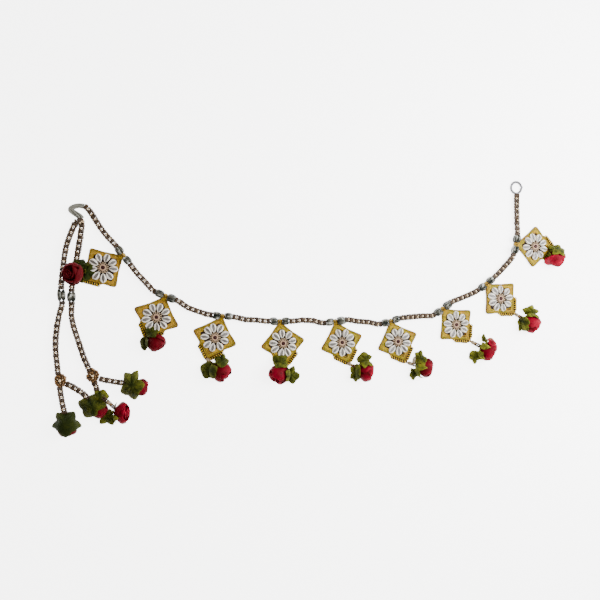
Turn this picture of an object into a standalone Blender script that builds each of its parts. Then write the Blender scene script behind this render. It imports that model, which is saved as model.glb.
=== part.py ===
"""Toran door hanging: a beaded string with nine square pendants, each ending in a fabric rose.

The toran lies flat, face up, as it is laid out on a table. The plan below is in millimetres, with +X
to the right, +Y to the top and the underside of everything at Z = 0. MIDDLE is the place on the plan
that becomes the origin of the model.

The main string runs from a folded hanging loop at the left to a wire ring at the right. At each of nine
places two clusters of glass beads stand on it, and a tile hangs between them by its corner. At the left
two more strings leave the knot of the loop, pass under the first rose, and end in gold bead rosettes,
each with two short strings that hold roses.
"""

import math
from collections import namedtuple

import bmesh
import bpy
import numpy as np
from mathutils import Vector

MM = 0.001
MIDDLE = (47.94, -3.36)
CLEAR = 0.3  # left between two pieces that meet

# String and glass
ROPE_RADIUS = 5.0
ROPE_STEP = 21.0
STRAIGHT_END = 7.0  # a string leaves glass straight for this long
GLASS_RADIUS = 6.2
GLASS_LENGTH = 13.0
GLASS_END_RADIUS = 4.2
GLASS_SHOULDER = 2.6  # the length over which a cluster narrows to its end
HANGER_CORE_RADIUS = 1.7
HANGER_BEAD_RADIUS = 3.5
HANGER_CORE_HALF = 5.5
GLASS_SIDES = 8

# Tile
TILE_HALF = 31.0
TILE_THICK = 3.5
TILE_CORNER_ROUND = 5.0
TILE_TIP_GAP = 2.9  # from the string's axis to the rounded tip of the tile
TRIM_WIDTH = 5.5
TRIM_CORNER_ROUND = 8.0
TRIM_HALF_ANGLE = 50.0
TILE_SPOKES = 36
SHELLS = 9
CENTRE_BEAD_RADIUS = 4.5
CENTRE_BEAD_EDGE = 8.0  # heights, here and below, are above the table
CENTRE_BEAD_TOP = 8.6
DISC_RADIUS = 9.5
DISC_TOP = 4.6
DISC_RISE = 1.2  # what a shell adds to the disc's height where it lies on it
SHELL_BACK_RADIUS = 18.0
SHELL_RISE = 5.4
SHELL_END_RADIUS = 26.5
SHELL_END_RISE = 0.9

# Loop and ring
LOOP_RADIUS = 4.0
LOOP_STEP = 5.0
LOOP_STRAIGHT = 3.0
RING_RADIUS = 11.75
RING_WIRE_RADIUS = 1.25
RING_LEAN = 0.8  # the last string meets the ring this far to the left of its middle

# Roses
LEAF_THICK = 1.5
LEAF_NOTCH = 0.66  # how far out the dents between a leaf's points lie, as a share of a point's reach
LEAF_FOLD = 0.12
STEM_RADIUS = 1.6
STEM_BEAD_RADIUS = 3.2
BUD_SINK = 0.93  # the bud's middle is this share of its half height above its flat spot
BUD_MOUTH = 0.86  # the ball's axis is cut off here to give the blunt mouth
BUD_PETAL_LUMP = 0.07
BUD_PETAL_TWIST = 2.5
BUD_TAPER = 0.22
BUD_FLARE = 0.06

# Faces round a ball and from pole to pole, for large pieces and for beads
BALL_FACES = (12, 8)
BEAD_FACES = (8, 6)

Hanger = namedtuple("Hanger", "x y heading tile_turn")
HANGERS = (
    Hanger(-343, 85, -53, -148),
    Hanger(-264, 8, -22, -113),
    Hanger(-155, -31, -5, -109),
    Hanger(-42, -42, 0, -81),
    Hanger(71, -43, 8, -72),
    Hanger(186, -43, 15, -69),
    Hanger(298, -18, 35, -48),
    Hanger(394, 34, 37, -44),
    Hanger(460, 117, 79, -5),
)

# Where the main string passes between its hangers
LOOP_END = (-415.0, 177.5)
RING_MIDDLE = (463.5, 237.0)
STRING_VIA = (
    ((-408.9, 174), (-401, 164), (-394, 151), (-381, 131), (-369, 116)),
    ((-315, 48), (-299, 31)),
    ((-227, -12), (-211, -19), (-190, -26)),
    ((-120, -38), (-93, -39)),
    ((4, -40), (30, -42)),
    ((115, -43), (143, -45)),
    ((238, -34), (265, -32)),
    ((345, 6), (364, 14)),
    ((425, 59), (441, 76)),
    ((464, 151), (463, 185)),
)

LOOP_ROUTE = (
    (-415.4, 177.7),
    (-418, 179.2),
    (-424, 180.2),
    (-431, 178.6),
    (-437, 175.4),
    (-440.2, 172.6),
    (-440.6, 169.6),
    (-438.4, 166.8),
    (-432, 162),
    (-425, 157),
    (-421, 152),
)
KNOT = (-424, 149, 10.5, 6.5, 5.5)  # x, y and the half sizes in X, Y and Z

# The two side strings, above and below their glass, and the four short ones that hold the end roses
STRANDS = {
    "strand_left_upper": ((-431, 146), (-441, 122), (-448, 100), (-452, 74), (-454.5, 45)),
    "strand_left_lower": ((-460, -25), (-464, -49), (-467, -79), (-466, -103), (-462, -141)),
    "strand_right_upper": ((-419, 144), (-421, 125), (-425, 100), (-428, 82), (-434, 48)),
    "strand_right_lower": ((-439, -26), (-434, -52), (-427, -74), (-413, -116), (-404, -136)),
    "drop_left_down": ((-459.5, -162.5), (-457, -182), (-454, -198), (-450, -216), (-449, -226)),
    "drop_left_across": ((-448.5, -157), (-434, -164), (-420, -174), (-410, -183), (-398, -197)),
    "drop_right_down": ((-397.5, -154.5), (-394, -162), (-391.5, -173)),
    "drop_right_across": ((-388, -149), (-375, -153), (-357, -156), (-348, -157), (-327, -161)),
}

StrandGlass = namedtuple("StrandGlass", "name x y heading length radius above below")
STRAND_GLASS = (
    StrandGlass("glass_left", -456, 9, 93, 21, 6.6, "strand_left_upper", "strand_left_lower"),
    StrandGlass("glass_right", -437.8, 6, 90, 17, 6.9, "strand_right_upper", "strand_right_lower"),
)

Rosette = namedtuple("Rosette", "name x y half_x half_y half_z strings")
ROSETTES = (
    Rosette("rosette_left", -458, -151, 12.5, 14.5, 7.5,
            ("strand_left_lower", "drop_left_down", "drop_left_across")),
    Rosette("rosette_right", -399, -143, 12.5, 13.5, 7,
            ("strand_right_lower", "drop_right_down", "drop_right_across")),
)

# point is the way that the bud opens; tile and string say what the rose hangs on
Rose = namedtuple("Rose", "name x y point long wide tall lift tile string")
ROSES = (
    Rose("rose_1", -434, 50, 190, 38, 38, 28, 10.3, 1, None),
    Rose("rose_2", -282, -80, -55, 36, 37, 29, 0, 2, None),
    Rose("rose_3", -159, -138, -45, 41, 41, 30, 0, 3, None),
    Rose("rose_4", -44, -145, -130, 41, 41, 30, 0, 4, None),
    Rose("rose_5", 131, -144, -15, 38, 41, 29, 0, 5, None),
    Rose("rose_6", 256, -138, -15, 38, 41, 30, 0, 6, None),
    Rose("rose_7", 394, -104, -25, 36, 44, 30, 0, 7, None),
    Rose("rose_8", 492, -49, -40, 40, 39, 29, 0, 8, None),
    Rose("rose_9", 549, 90, -30, 40, 37, 28, 0, 9, None),
    Rose("end_rose_1", -445, -239, -80, 36, 36, 26, 0, None, "drop_left_down"),
    Rose("end_rose_2", -387, -207, -42, 32, 32, 24, 0, None, "drop_left_across"),
    Rose("end_rose_3", -346, -214, 0, 31, 43, 28, 0, None, "drop_right_down"),
    Rose("end_rose_4", -312, -166, -12, 33, 34, 24, 0, None, "drop_right_across"),
)

# middle and edge are the heights of the leaf's upper side at its middle and at its points
Leaf = namedtuple("Leaf", "rose x y long wide turn lobes middle edge")
LEAVES = (
    Leaf("rose_1", -422, 66, 34, 24, 5, 5, 25, 17),
    Leaf("rose_1", -410, 54, 36, 36, -20, 5, 18, 12.5),
    Leaf("rose_2", -289, -61, 27, 22, 10, 5, 14, 8),
    Leaf("rose_2", -303, -83, 22, 27, 60, 5, 10, 6.5),
    Leaf("rose_3", -181, -136, 34, 37, 20, 5, 12, 6.5),
    Leaf("rose_3", -156, -118, 26, 21, -15, 4, 18, 11),
    Leaf("rose_4", -42, -121, 24, 24, 40, 4, 16, 8),
    Leaf("rose_4", -18, -149, 31, 34, 0, 5, 10, 6.5),
    Leaf("rose_5", 131, -118, 30, 28, 25, 5, 16, 8),
    Leaf("rose_5", 113, -147, 24, 40, 0, 5, 12, 6.5),
    Leaf("rose_6", 245, -115, 24, 32, 70, 5, 20, 10),
    Leaf("rose_6", 237, -152, 25, 27, 200, 5, 14, 6),
    Leaf("rose_7", 373, -120, 32, 28, 200, 5, 10, 3),
    Leaf("rose_7", 387, -80, 14, 20, 80, 4, 16, 9),
    Leaf("rose_8", 493, -26, 38, 27, 10, 5, 15, 6),
    Leaf("rose_8", 473, -55, 19, 28, 90, 5, 10, 4),
    Leaf("rose_9", 550, 105, 41, 27, 0, 5, 19, 10),
    Leaf("end_rose_1", -448, -231, 56, 50, 54, 5, 25.5, 6),
    Leaf("end_rose_2", -398, -200, 56, 47, 14, 5, 24, 8),
    Leaf("end_rose_3", -380, -181, 27, 23, 65, 5, 21, 15),
    Leaf("end_rose_3", -363, -224, 30, 22, 10, 5, 9, 4),
    Leaf("end_rose_4", -326, -161, 48, 60, 66, 5, 24, 7),
)

# The thread of the third end rose goes from its string over the leaf and down to the bud
LONG_STEM = {"end_rose_3": ((-391, -174.6, 5), (-384, -180, 17), (-369, -193, 19), (-352, -211, 13))}
# Beads on the threads that show, as shares of the thread's length
STEM_BEADS = {"rose_6": (0.3, 0.65), "rose_7": (0.25, 0.55), "rose_8": (0.2,), "end_rose_3": (0.62,)}

COLOURS = {
    "bead_string": ((0.20, 0.12, 0.07), 0.4, 0.2),
    "glass_beads": ((0.45, 0.50, 0.48), 0.1, 0.0),
    "brocade": ((0.52, 0.35, 0.08), 0.5, 0.3),
    "gold_beads": ((0.42, 0.25, 0.08), 0.35, 0.5),
    "rose_satin": ((0.50, 0.01, 0.03), 0.5, 0.0),
    "leaf_cloth": ((0.10, 0.15, 0.02), 0.7, 0.0),
    "grey_cord": ((0.20, 0.20, 0.18), 0.7, 0.0),
    "ring_wire": ((0.55, 0.55, 0.57), 0.35, 0.6),
}


def clear_scene():
    for obj in list(bpy.data.objects):
        bpy.data.objects.remove(obj)


def make_collection(name):
    made = bpy.data.collections.new(name)
    bpy.context.scene.collection.children.link(made)
    return made


def make_material(name):
    colour, roughness, metallic = COLOURS[name]
    made = bpy.data.materials.new(name)
    made.use_nodes = True
    shader = made.node_tree.nodes["Principled BSDF"]
    shader.inputs["Base Color"].default_value = (*colour, 1.0)
    shader.inputs["Roughness"].default_value = roughness
    shader.inputs["Metallic"].default_value = metallic
    made.diffuse_color = (*colour, 1.0)
    return made


def place(x, y, z=0.0):
    """The model's point, in metres, for a place on the plan in millimetres."""
    return Vector(((x - MIDDLE[0]) * MM, (y - MIDDLE[1]) * MM, z * MM))


def heading_vector(degrees):
    return np.array((math.cos(math.radians(degrees)), math.sin(math.radians(degrees))))


class Workshop:
    """The collections and materials, and the ways in which each kind of piece is made."""

    def __init__(self):
        self.parts = make_collection("toran_door_hanging")
        self.tools = make_collection("cutters")
        self.materials = {name: make_material(name) for name in COLOURS}

    def add(self, name, data, material):
        """A visible piece of the toran."""
        obj = bpy.data.objects.new(name, data)
        self.parts.objects.link(obj)
        if material is not None:
            data.materials.append(self.materials[material])
        return obj

    def add_tool(self, name, data, material=None):
        """A shape that is only cut from, or joined to, a visible piece."""
        obj = bpy.data.objects.new(name, data)
        self.tools.objects.link(obj)
        if material is not None:
            data.materials.append(self.materials[material])
        obj.hide_render = True
        obj.display_type = "WIRE"
        return obj


def mesh_from(name, points, faces):
    """A mesh of points in millimetres on the plan, or about a piece's own middle."""
    mesh = bpy.data.meshes.new(name)
    mesh.from_pydata([tuple(p) for p in points], [], faces)
    mesh.update()
    return mesh


def boolean(obj, operand, operation):
    modifier = obj.modifiers.new(operation.lower() + "_" + operand.name, "BOOLEAN")
    modifier.operation = operation
    modifier.object = operand
    modifier.solver = "EXACT"
    modifier.material_mode = "TRANSFER"


def smooth_route(points, step, straight=0.0):
    """Points on the Catmull-Rom curve through the given ones, evenly spaced but for a straight end."""
    given = np.array(points, float)
    given = np.vstack((2 * given[0] - given[1], given, 2 * given[-1] - given[-2]))
    share = np.linspace(0, 1, 24, endpoint=False)[:, None]
    fine = []
    for a, b, c, d in zip(given, given[1:], given[2:], given[3:]):
        bend = 2 * a - 5 * b + 4 * c - d
        twist = 3 * b - a - 3 * c + d
        fine.append(0.5 * (2 * b + (c - a) * share + bend * share**2 + twist * share**3))
    fine = np.vstack((*fine, given[-2]))
    along = np.concatenate(([0], np.cumsum(np.linalg.norm(np.diff(fine, axis=0), axis=1))))
    inner = along[-1] - 2 * straight
    at = np.linspace(straight, along[-1] - straight, max(3, round(inner / step) + 1))
    if straight:
        at = np.concatenate(([0], at, [along[-1]]))
    return np.stack([np.interp(at, along, fine[:, k]) for k in range(given.shape[1])], axis=1)


def tube_curve(name, points, radius, resolution=2):
    """A round tube with filled ends through points of the plan, given as x, y and z in millimetres."""
    curve = bpy.data.curves.new(name, "CURVE")
    curve.dimensions = "3D"
    curve.bevel_depth = radius * MM
    curve.bevel_resolution = resolution
    curve.use_fill_caps = True
    spline = curve.splines.new("POLY")
    spline.points.add(len(points) - 1)
    for point, (x, y, z) in zip(spline.points, points):
        point.co = (*place(x, y, z), 1.0)
    return curve


def tube_mesh(shop, name, points, radius, resolution=2):
    """The same tube as a closed mesh, for joining and cutting."""
    helper = shop.add_tool(name + "_guide", tube_curve(name + "_guide", points, radius, resolution))
    bpy.context.view_layer.update()
    evaluated = helper.evaluated_get(bpy.context.evaluated_depsgraph_get())
    mesh = bpy.data.meshes.new_from_object(evaluated)
    mesh.name = name
    bpy.data.objects.remove(helper)
    work = bmesh.new()
    work.from_mesh(mesh)
    bmesh.ops.remove_doubles(work, verts=work.verts, dist=1e-5)
    bmesh.ops.recalc_face_normals(work, faces=work.faces)
    work.to_mesh(mesh)
    work.free()
    mesh.materials.clear()
    return mesh


def on_floor(points, height):
    return [(x, y, height) for x, y in points]


def longer_route(points, extra):
    """The route with both ends moved outwards."""
    points = np.array(points, float)
    first = points[0] - points[1]
    last = points[-1] - points[-2]
    points[0] += extra * first / np.linalg.norm(first)
    points[-1] += extra * last / np.linalg.norm(last)
    return points


def make_rope(shop, name, via, with_cutter=False):
    """A bead string that lies on the table, and the fat copy that makes room for its end."""
    route = smooth_route(on_floor(via, ROPE_RADIUS), ROPE_STEP, STRAIGHT_END)
    rope = shop.add(name, tube_curve(name, route, ROPE_RADIUS), "bead_string")
    if not with_cutter:
        return rope
    fat = tube_mesh(shop, name + "_room", longer_route(route, CLEAR), ROPE_RADIUS + CLEAR)
    return shop.add_tool(name + "_room", fat)


def turned(shop, name, profile, centre, heading, material):
    """A turned shape on a lying axis. The profile has rows of distance along the axis and radius."""
    points = [(radius * MM, 0.0, along * MM) for along, radius in profile]
    edges = [(i, i + 1) for i in range(len(points) - 1)]
    mesh = bpy.data.meshes.new(name)
    mesh.from_pydata(points, edges, [])
    obj = shop.add(name, mesh, material)
    screw = obj.modifiers.new("turn", "SCREW")
    screw.axis = "Z"
    screw.steps = GLASS_SIDES
    screw.render_steps = GLASS_SIDES
    screw.use_merge_vertices = True
    screw.merge_threshold = 0.00005
    obj.location = centre
    obj.rotation_euler = (math.pi / 2, 0.0, math.radians(heading) + math.pi / 2)
    return obj


def glass_profile(middle, length, radius):
    """One cluster of glass beads, from its far end to its near end."""
    half = length / 2
    shoulder = half - GLASS_SHOULDER
    return [
        (middle + half, GLASS_END_RADIUS),
        (middle + shoulder, radius),
        (middle - shoulder, radius),
        (middle - half, GLASS_END_RADIUS),
    ]


def make_hangers(shop):
    """Two glass clusters with a thin core and a gold bead between them, at each of the nine places."""
    offset = HANGER_CORE_HALF + GLASS_LENGTH / 2
    core = [
        (HANGER_CORE_HALF, HANGER_CORE_RADIUS),
        (HANGER_BEAD_RADIUS, HANGER_CORE_RADIUS),
        (0, HANGER_BEAD_RADIUS),
        (-HANGER_BEAD_RADIUS, HANGER_CORE_RADIUS),
        (-HANGER_CORE_HALF, HANGER_CORE_RADIUS),
    ]
    far = glass_profile(offset, GLASS_LENGTH, GLASS_RADIUS)
    near = glass_profile(-offset, GLASS_LENGTH, GLASS_RADIUS)
    end = offset + GLASS_LENGTH / 2
    profile = [(end, 0), *far, *core, *near, (-end, 0)]
    for number, hanger in enumerate(HANGERS, 1):
        centre = place(hanger.x, hanger.y, GLASS_RADIUS)
        turned(shop, f"hanger_{number}", profile, centre, hanger.heading, "glass_beads")


def make_strand_glass(shop):
    for row in STRAND_GLASS:
        half = row.length / 2
        profile = [(half, 0), *glass_profile(0, row.length, row.radius), (-half, 0)]
        turned(shop, row.name, profile, place(row.x, row.y, row.radius), row.heading, "glass_beads")


def glass_ends(x, y, heading, reach, side):
    """The two plan places by which a string meets glass squarely, the touching one first."""
    outward = side * heading_vector(heading)
    touch = np.array((x, y)) + (reach + CLEAR) * outward
    return [tuple(touch), tuple(touch + STRAIGHT_END * outward)]


def make_strings(shop):
    """The main string in its ten stretches, then the side strings."""
    ring_foot = (RING_MIDDLE[0] - RING_LEAN, RING_MIDDLE[1] - RING_RADIUS - RING_WIRE_RADIUS - CLEAR)
    reach = HANGER_CORE_HALF + GLASS_LENGTH
    starts = [[LOOP_END], *(glass_ends(h.x, h.y, h.heading, reach, 1) for h in HANGERS)]
    ends = [*(glass_ends(h.x, h.y, h.heading, reach, -1) for h in HANGERS), [ring_foot]]
    for number, (start, via, end) in enumerate(zip(starts, STRING_VIA, ends)):
        make_rope(shop, f"string_{number}", [*start, *via, *reversed(end)])
    rooms = {}
    for name, via in STRANDS.items():
        route = list(via)
        for glass in STRAND_GLASS:
            half = glass.length / 2
            if name == glass.above:
                route += reversed(glass_ends(glass.x, glass.y, glass.heading, half, 1))
            elif name == glass.below:
                route = [*glass_ends(glass.x, glass.y, glass.heading, half, -1), *route]
        rooms[name] = make_rope(shop, name, route, with_cutter=True)
    return rooms


def square_reach(angle, half, rounding):
    """Distance from the middle of a rounded square to its outline. A corner is at angle 0."""
    from_corner = abs((angle + math.pi / 4) % (math.pi / 2) - math.pi / 4)
    from_side = math.pi / 4 - from_corner
    if half * math.tan(from_side) <= half - rounding:
        return half / math.cos(from_side)
    centre = math.sqrt(2) * (half - rounding)
    across = centre * math.sin(from_corner)
    return centre * math.cos(from_corner) + math.sqrt(max(rounding**2 - across**2, 0.0))


def tile_reach(angle):
    """The tile's outline: a rounded square, wider where the bead trim lies along its lower sides."""
    signed = math.degrees(math.atan2(math.sin(angle), math.cos(angle)))
    if abs(signed) <= TRIM_HALF_ANGLE + 0.1:
        return square_reach(angle, TILE_HALF + TRIM_WIDTH, TRIM_CORNER_ROUND)
    return square_reach(angle, TILE_HALF, TILE_CORNER_ROUND)


def tile_mesh(name, grow=0.0, foot=0.0):
    """A tile with its raised daisy of shells, as rings of points about its middle.

    The free corner points along +X. The rings are the centre bead, the stitched disc, the shells'
    backs, their outer ends, and the outline above and below.
    """
    angles = np.arange(TILE_SPOKES) * 2 * math.pi / TILE_SPOKES
    petal = 0.5 + 0.5 * np.cos(SHELLS * angles)
    outline = np.array([tile_reach(a) for a in angles]) + grow
    top = TILE_THICK + grow
    even = np.ones(TILE_SPOKES)
    rings = [
        ((CENTRE_BEAD_RADIUS + grow) * even, (CENTRE_BEAD_EDGE + grow) * even),
        (DISC_RADIUS * even, DISC_TOP + DISC_RISE * petal + grow),
        (SHELL_BACK_RADIUS * even, DISC_TOP + SHELL_RISE * petal + grow),
        ((SHELL_END_RADIUS + grow) * even, top + SHELL_END_RISE * petal),
        (outline, top * even),
        (outline, foot * even),
    ]
    points = [(0.0, 0.0, CENTRE_BEAD_TOP + grow)]
    for radius, height in rings:
        points += list(zip(radius * np.cos(angles), radius * np.sin(angles), height))
    points.append((0.0, 0.0, foot))
    points = np.array(points) * MM
    last = len(points) - 1
    faces = []
    for i in range(TILE_SPOKES):
        j = (i + 1) % TILE_SPOKES
        faces.append((0, 1 + i, 1 + j))
        for ring in range(len(rings) - 1):
            inner = 1 + ring * TILE_SPOKES
            outer = inner + TILE_SPOKES
            faces.append((inner + i, outer + i, outer + j, inner + j))
        rim = 1 + (len(rings) - 1) * TILE_SPOKES
        faces.append((last, rim + j, rim + i))
    return mesh_from(name, points, faces)


def tile_middle(number):
    """The plan place of a tile's middle, from its hanger and the way it hangs."""
    hanger = HANGERS[number - 1]
    tip = square_reach(math.pi, TILE_HALF, TILE_CORNER_ROUND)
    return np.array((hanger.x, hanger.y)) + (TILE_TIP_GAP + tip) * heading_vector(hanger.tile_turn)


def make_tiles(shop):
    """Nine tiles that share one mesh, and the grown copies that keep the roses clear of them."""
    shared = tile_mesh("tile")
    grown = tile_mesh("tile_room", CLEAR, -1.0)
    rooms = []
    for number, hanger in enumerate(HANGERS, 1):
        x, y = tile_middle(number)
        tile = shop.add(f"tile_{number}", shared, "brocade" if number == 1 else None)
        room = shop.add_tool(f"tile_room_{number}", grown)
        for obj in (tile, room):
            obj.location = place(x, y)
            obj.rotation_euler.z = math.radians(hanger.tile_turn)
        rooms.append(room)
    return rooms


def ball_mesh(name, faces=BALL_FACES):
    mesh = bpy.data.meshes.new(name)
    work = bmesh.new()
    bmesh.ops.create_uvsphere(work, u_segments=faces[0], v_segments=faces[1], radius=1.0)
    work.to_mesh(mesh)
    work.free()
    return mesh


def reshape(mesh, function):
    """Moves a mesh's points by a function of their array."""
    points = np.empty(len(mesh.vertices) * 3)
    mesh.vertices.foreach_get("co", points)
    mesh.vertices.foreach_set("co", function(points.reshape(-1, 3)).ravel())
    mesh.update()
    return mesh


def bud_mesh(rose):
    """A rosebud that lies on its side.

    It starts as a ball whose axis is the bud's. It narrows to the calyx, has a blunt mouth, and three
    petals make its girth uneven. Its underside is a small flat spot.
    """

    def shape(ball):
        along = ball[:, 2]
        angle = np.arctan2(ball[:, 1], ball[:, 0])
        petals = 1 + BUD_PETAL_LUMP * np.cos(3 * angle + BUD_PETAL_TWIST * along + rose.point)
        taper = np.where(along < 0, 1 - BUD_TAPER * along**2, 1 + BUD_FLARE * along)
        forward = rose.long * np.minimum(along, BUD_MOUTH) / (1 + BUD_MOUTH)
        side = rose.wide / 2 * ball[:, 0] * petals * taper
        middle = rose.lift + BUD_SINK * rose.tall / 2
        up = np.maximum(middle + rose.tall / 2 * ball[:, 1] * petals * taper, rose.lift)
        facing = heading_vector(rose.point)
        x = forward * facing[0] - side * facing[1]
        y = forward * facing[1] + side * facing[0]
        return np.stack((x * MM, y * MM, up * MM), axis=1)

    return reshape(ball_mesh(rose.name), shape)


def leaf_mesh(leaf, name):
    """A lobed leaf as an open sheet about its middle, higher there than at its points."""
    spokes = 2 * leaf.lobes
    angles = np.arange(spokes) * 2 * math.pi / spokes
    is_point = np.arange(spokes) % 2 == 0
    turn = math.radians(leaf.turn)
    points = [(0.0, 0.0, leaf.middle)]
    for share in (0.5, 1.0):
        reach = share * np.where(is_point, 1.0, LEAF_NOTCH + 0.2 * (1 - share))
        x = leaf.long / 2 * reach * np.cos(angles + turn)
        y = leaf.wide / 2 * reach * np.sin(angles + turn)
        z = leaf.middle + (leaf.edge - leaf.middle) * share**2
        z = np.where(is_point, z, z - LEAF_FOLD * (leaf.middle - leaf.edge) * share)
        points += list(zip(x, y, np.maximum(z, leaf.edge)))
    points = np.array(points) * MM
    faces = []
    for i in range(spokes):
        j = (i + 1) % spokes
        faces.append((0, 1 + i, 1 + j))
        faces.append((1 + i, 1 + spokes + i, 1 + spokes + j, 1 + j))
    return mesh_from(name, points, faces)


def make_leaf(shop, leaf, name):
    obj = shop.add_tool(name, leaf_mesh(leaf, name), "leaf_cloth")
    obj.location = place(leaf.x, leaf.y)
    solidify = obj.modifiers.new("cloth", "SOLIDIFY")
    solidify.thickness = LEAF_THICK * MM
    solidify.offset = -1.0
    return obj


def stem_route(rose):
    """The thread from the tile's free corner, or from the string, up into the bud."""
    if rose.name in LONG_STEM:
        return np.array(LONG_STEM[rose.name], float)
    tip = tile_reach(0.0) + CLEAR
    start = tile_middle(rose.tile) + tip * heading_vector(HANGERS[rose.tile - 1].tile_turn)
    into = np.array((rose.x, rose.y))
    height = rose.lift + rose.tall / 3
    half_way = (start + into) / 2
    return np.array([(*start, 2.0), (*half_way, 0.5 * height + 1.0), (*into, height)])


def make_stem(shop, rose):
    """The thread and its beads, as shapes that are joined to the bud."""
    route = stem_route(rose)
    name = rose.name + "_thread"
    made = [shop.add_tool(name, tube_mesh(shop, name, route, STEM_RADIUS, 1), "gold_beads")]
    fine = smooth_route(route, 1.0)
    for number, share in enumerate(STEM_BEADS.get(rose.name, ())):
        name = f"{rose.name}_bead_{number}"
        bead = shop.add_tool(name, ball_mesh(name, BEAD_FACES), "gold_beads")
        x, y, z = fine[round(share * (len(fine) - 1))]
        bead.location = place(x, y, max(z, STEM_BEAD_RADIUS + 0.1))
        bead.scale = (STEM_BEAD_RADIUS * MM,) * 3
        made.append(bead)
    return made


def make_roses(shop, tile_rooms, string_rooms):
    """Each rose is a bud with its leaves and thread joined to it, cut clear of what it lies on."""
    for rose in ROSES:
        bud = shop.add(rose.name, bud_mesh(rose), "rose_satin")
        bud.location = place(rose.x, rose.y)
        leaves = [leaf for leaf in LEAVES if leaf.rose == rose.name]
        joined = [make_leaf(shop, leaf, f"{rose.name}_leaf_{i}") for i, leaf in enumerate(leaves)]
        if rose.tile or rose.name in LONG_STEM:
            joined += make_stem(shop, rose)
        for operand in joined:
            boolean(bud, operand, "UNION")
        if rose.tile:
            boolean(bud, tile_rooms[rose.tile - 1], "DIFFERENCE")
        if rose.string:
            boolean(bud, string_rooms[rose.string], "DIFFERENCE")


def make_rosettes(shop, string_rooms):
    """The lumpy balls of gold beads where the side strings part."""
    for row in ROSETTES:

        def shape(ball):
            angle = np.arctan2(ball[:, 1], ball[:, 0])
            lumps = 1 + 0.06 * np.cos(6 * angle) * (1 - ball[:, 2] ** 2)
            up = np.maximum(row.half_z * (1 + ball[:, 2]) - 0.6, 0.0)
            x = row.half_x * ball[:, 0] * lumps
            y = row.half_y * ball[:, 1] * lumps
            return np.stack((x, y, up), axis=1) * MM

        rosette = shop.add(row.name, reshape(ball_mesh(row.name), shape), "gold_beads")
        rosette.location = place(row.x, row.y)
        for name in row.strings:
            boolean(rosette, string_rooms[name], "DIFFERENCE")


def make_loop(shop, string_rooms):
    """The folded cord that hangs on a nail, with the knot that the side strings leave."""
    route = smooth_route(on_floor(LOOP_ROUTE, LOOP_RADIUS), LOOP_STEP, LOOP_STRAIGHT)
    loop = shop.add("hanging_loop", tube_mesh(shop, "hanging_loop", route, LOOP_RADIUS), "grey_cord")
    x, y, half_x, half_y, half_z = KNOT
    knot = shop.add_tool("loop_knot", ball_mesh("loop_knot"), "grey_cord")
    knot.location = place(x, y, half_z)
    knot.scale = (half_x * MM, half_y * MM, half_z * MM)
    boolean(loop, knot, "UNION")
    boolean(loop, string_rooms["strand_left_upper"], "DIFFERENCE")
    boolean(loop, string_rooms["strand_right_upper"], "DIFFERENCE")


def make_ring(shop):
    """The wire ring at the right end, lying flat."""
    bpy.ops.mesh.primitive_torus_add(
        location=place(*RING_MIDDLE, RING_WIRE_RADIUS),
        major_segments=24,
        minor_segments=8,
        major_radius=RING_RADIUS * MM,
        minor_radius=RING_WIRE_RADIUS * MM,
    )
    ring = bpy.context.object
    ring.name = "hanging_ring"
    for collection in list(ring.users_collection):
        collection.objects.unlink(ring)
    shop.parts.objects.link(ring)
    ring.data.materials.append(shop.materials["ring_wire"])


def shade(shop):
    for obj in shop.parts.objects:
        if obj.type == "MESH" and obj.data.polygons:
            obj.data.shade_smooth()
            obj.data.set_sharp_from_angle(angle=math.radians(40))


def main():
    clear_scene()
    shop = Workshop()
    make_hangers(shop)
    make_strand_glass(shop)
    string_rooms = make_strings(shop)
    tile_rooms = make_tiles(shop)
    make_roses(shop, tile_rooms, string_rooms)
    make_rosettes(shop, string_rooms)
    make_loop(shop, string_rooms)
    make_ring(shop)
    shade(shop)


main()
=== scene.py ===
"""The looks of a toran door hanging that lies face up on a pale table.

Plan places are in millimetres, with +X to the right, +Y to the top and the table at Z = 0, as in the
part's source. build() moves them by MIDDLE and turns them into metres.
"""

import math
from collections import namedtuple

import bpy
import numpy as np
from bpy.props import FloatProperty, FloatVectorProperty, IntProperty, PointerProperty
from mathutils import Matrix, Vector


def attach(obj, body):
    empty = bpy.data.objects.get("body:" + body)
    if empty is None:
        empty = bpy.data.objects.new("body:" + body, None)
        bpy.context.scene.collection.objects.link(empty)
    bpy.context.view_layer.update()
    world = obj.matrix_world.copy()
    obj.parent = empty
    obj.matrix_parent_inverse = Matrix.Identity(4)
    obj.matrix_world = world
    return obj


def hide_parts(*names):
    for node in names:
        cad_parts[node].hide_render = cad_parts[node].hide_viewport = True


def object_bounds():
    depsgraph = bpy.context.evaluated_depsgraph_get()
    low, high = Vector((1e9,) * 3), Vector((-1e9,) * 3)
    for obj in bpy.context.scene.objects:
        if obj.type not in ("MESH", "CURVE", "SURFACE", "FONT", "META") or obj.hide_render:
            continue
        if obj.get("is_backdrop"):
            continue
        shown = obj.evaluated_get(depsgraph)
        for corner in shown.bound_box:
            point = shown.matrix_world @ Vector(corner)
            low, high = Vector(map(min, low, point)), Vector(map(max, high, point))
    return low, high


bl_info = {
    "name": "Toran Door Hanging",
    "version": (1, 0, 0),
    "blender": (4, 5, 0),
    "location": "3D View > Sidebar > Toran",
    "description": "Beads, brocade tiles, shells and fabric roses of a toran that lies flat",
    "category": "Object",
}

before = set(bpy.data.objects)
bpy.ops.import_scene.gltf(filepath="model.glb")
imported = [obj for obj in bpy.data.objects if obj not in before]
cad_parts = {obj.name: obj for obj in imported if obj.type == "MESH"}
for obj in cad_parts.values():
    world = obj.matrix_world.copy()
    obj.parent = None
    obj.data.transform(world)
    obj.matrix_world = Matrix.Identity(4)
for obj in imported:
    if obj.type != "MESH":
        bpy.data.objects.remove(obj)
SOLID_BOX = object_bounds()

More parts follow.
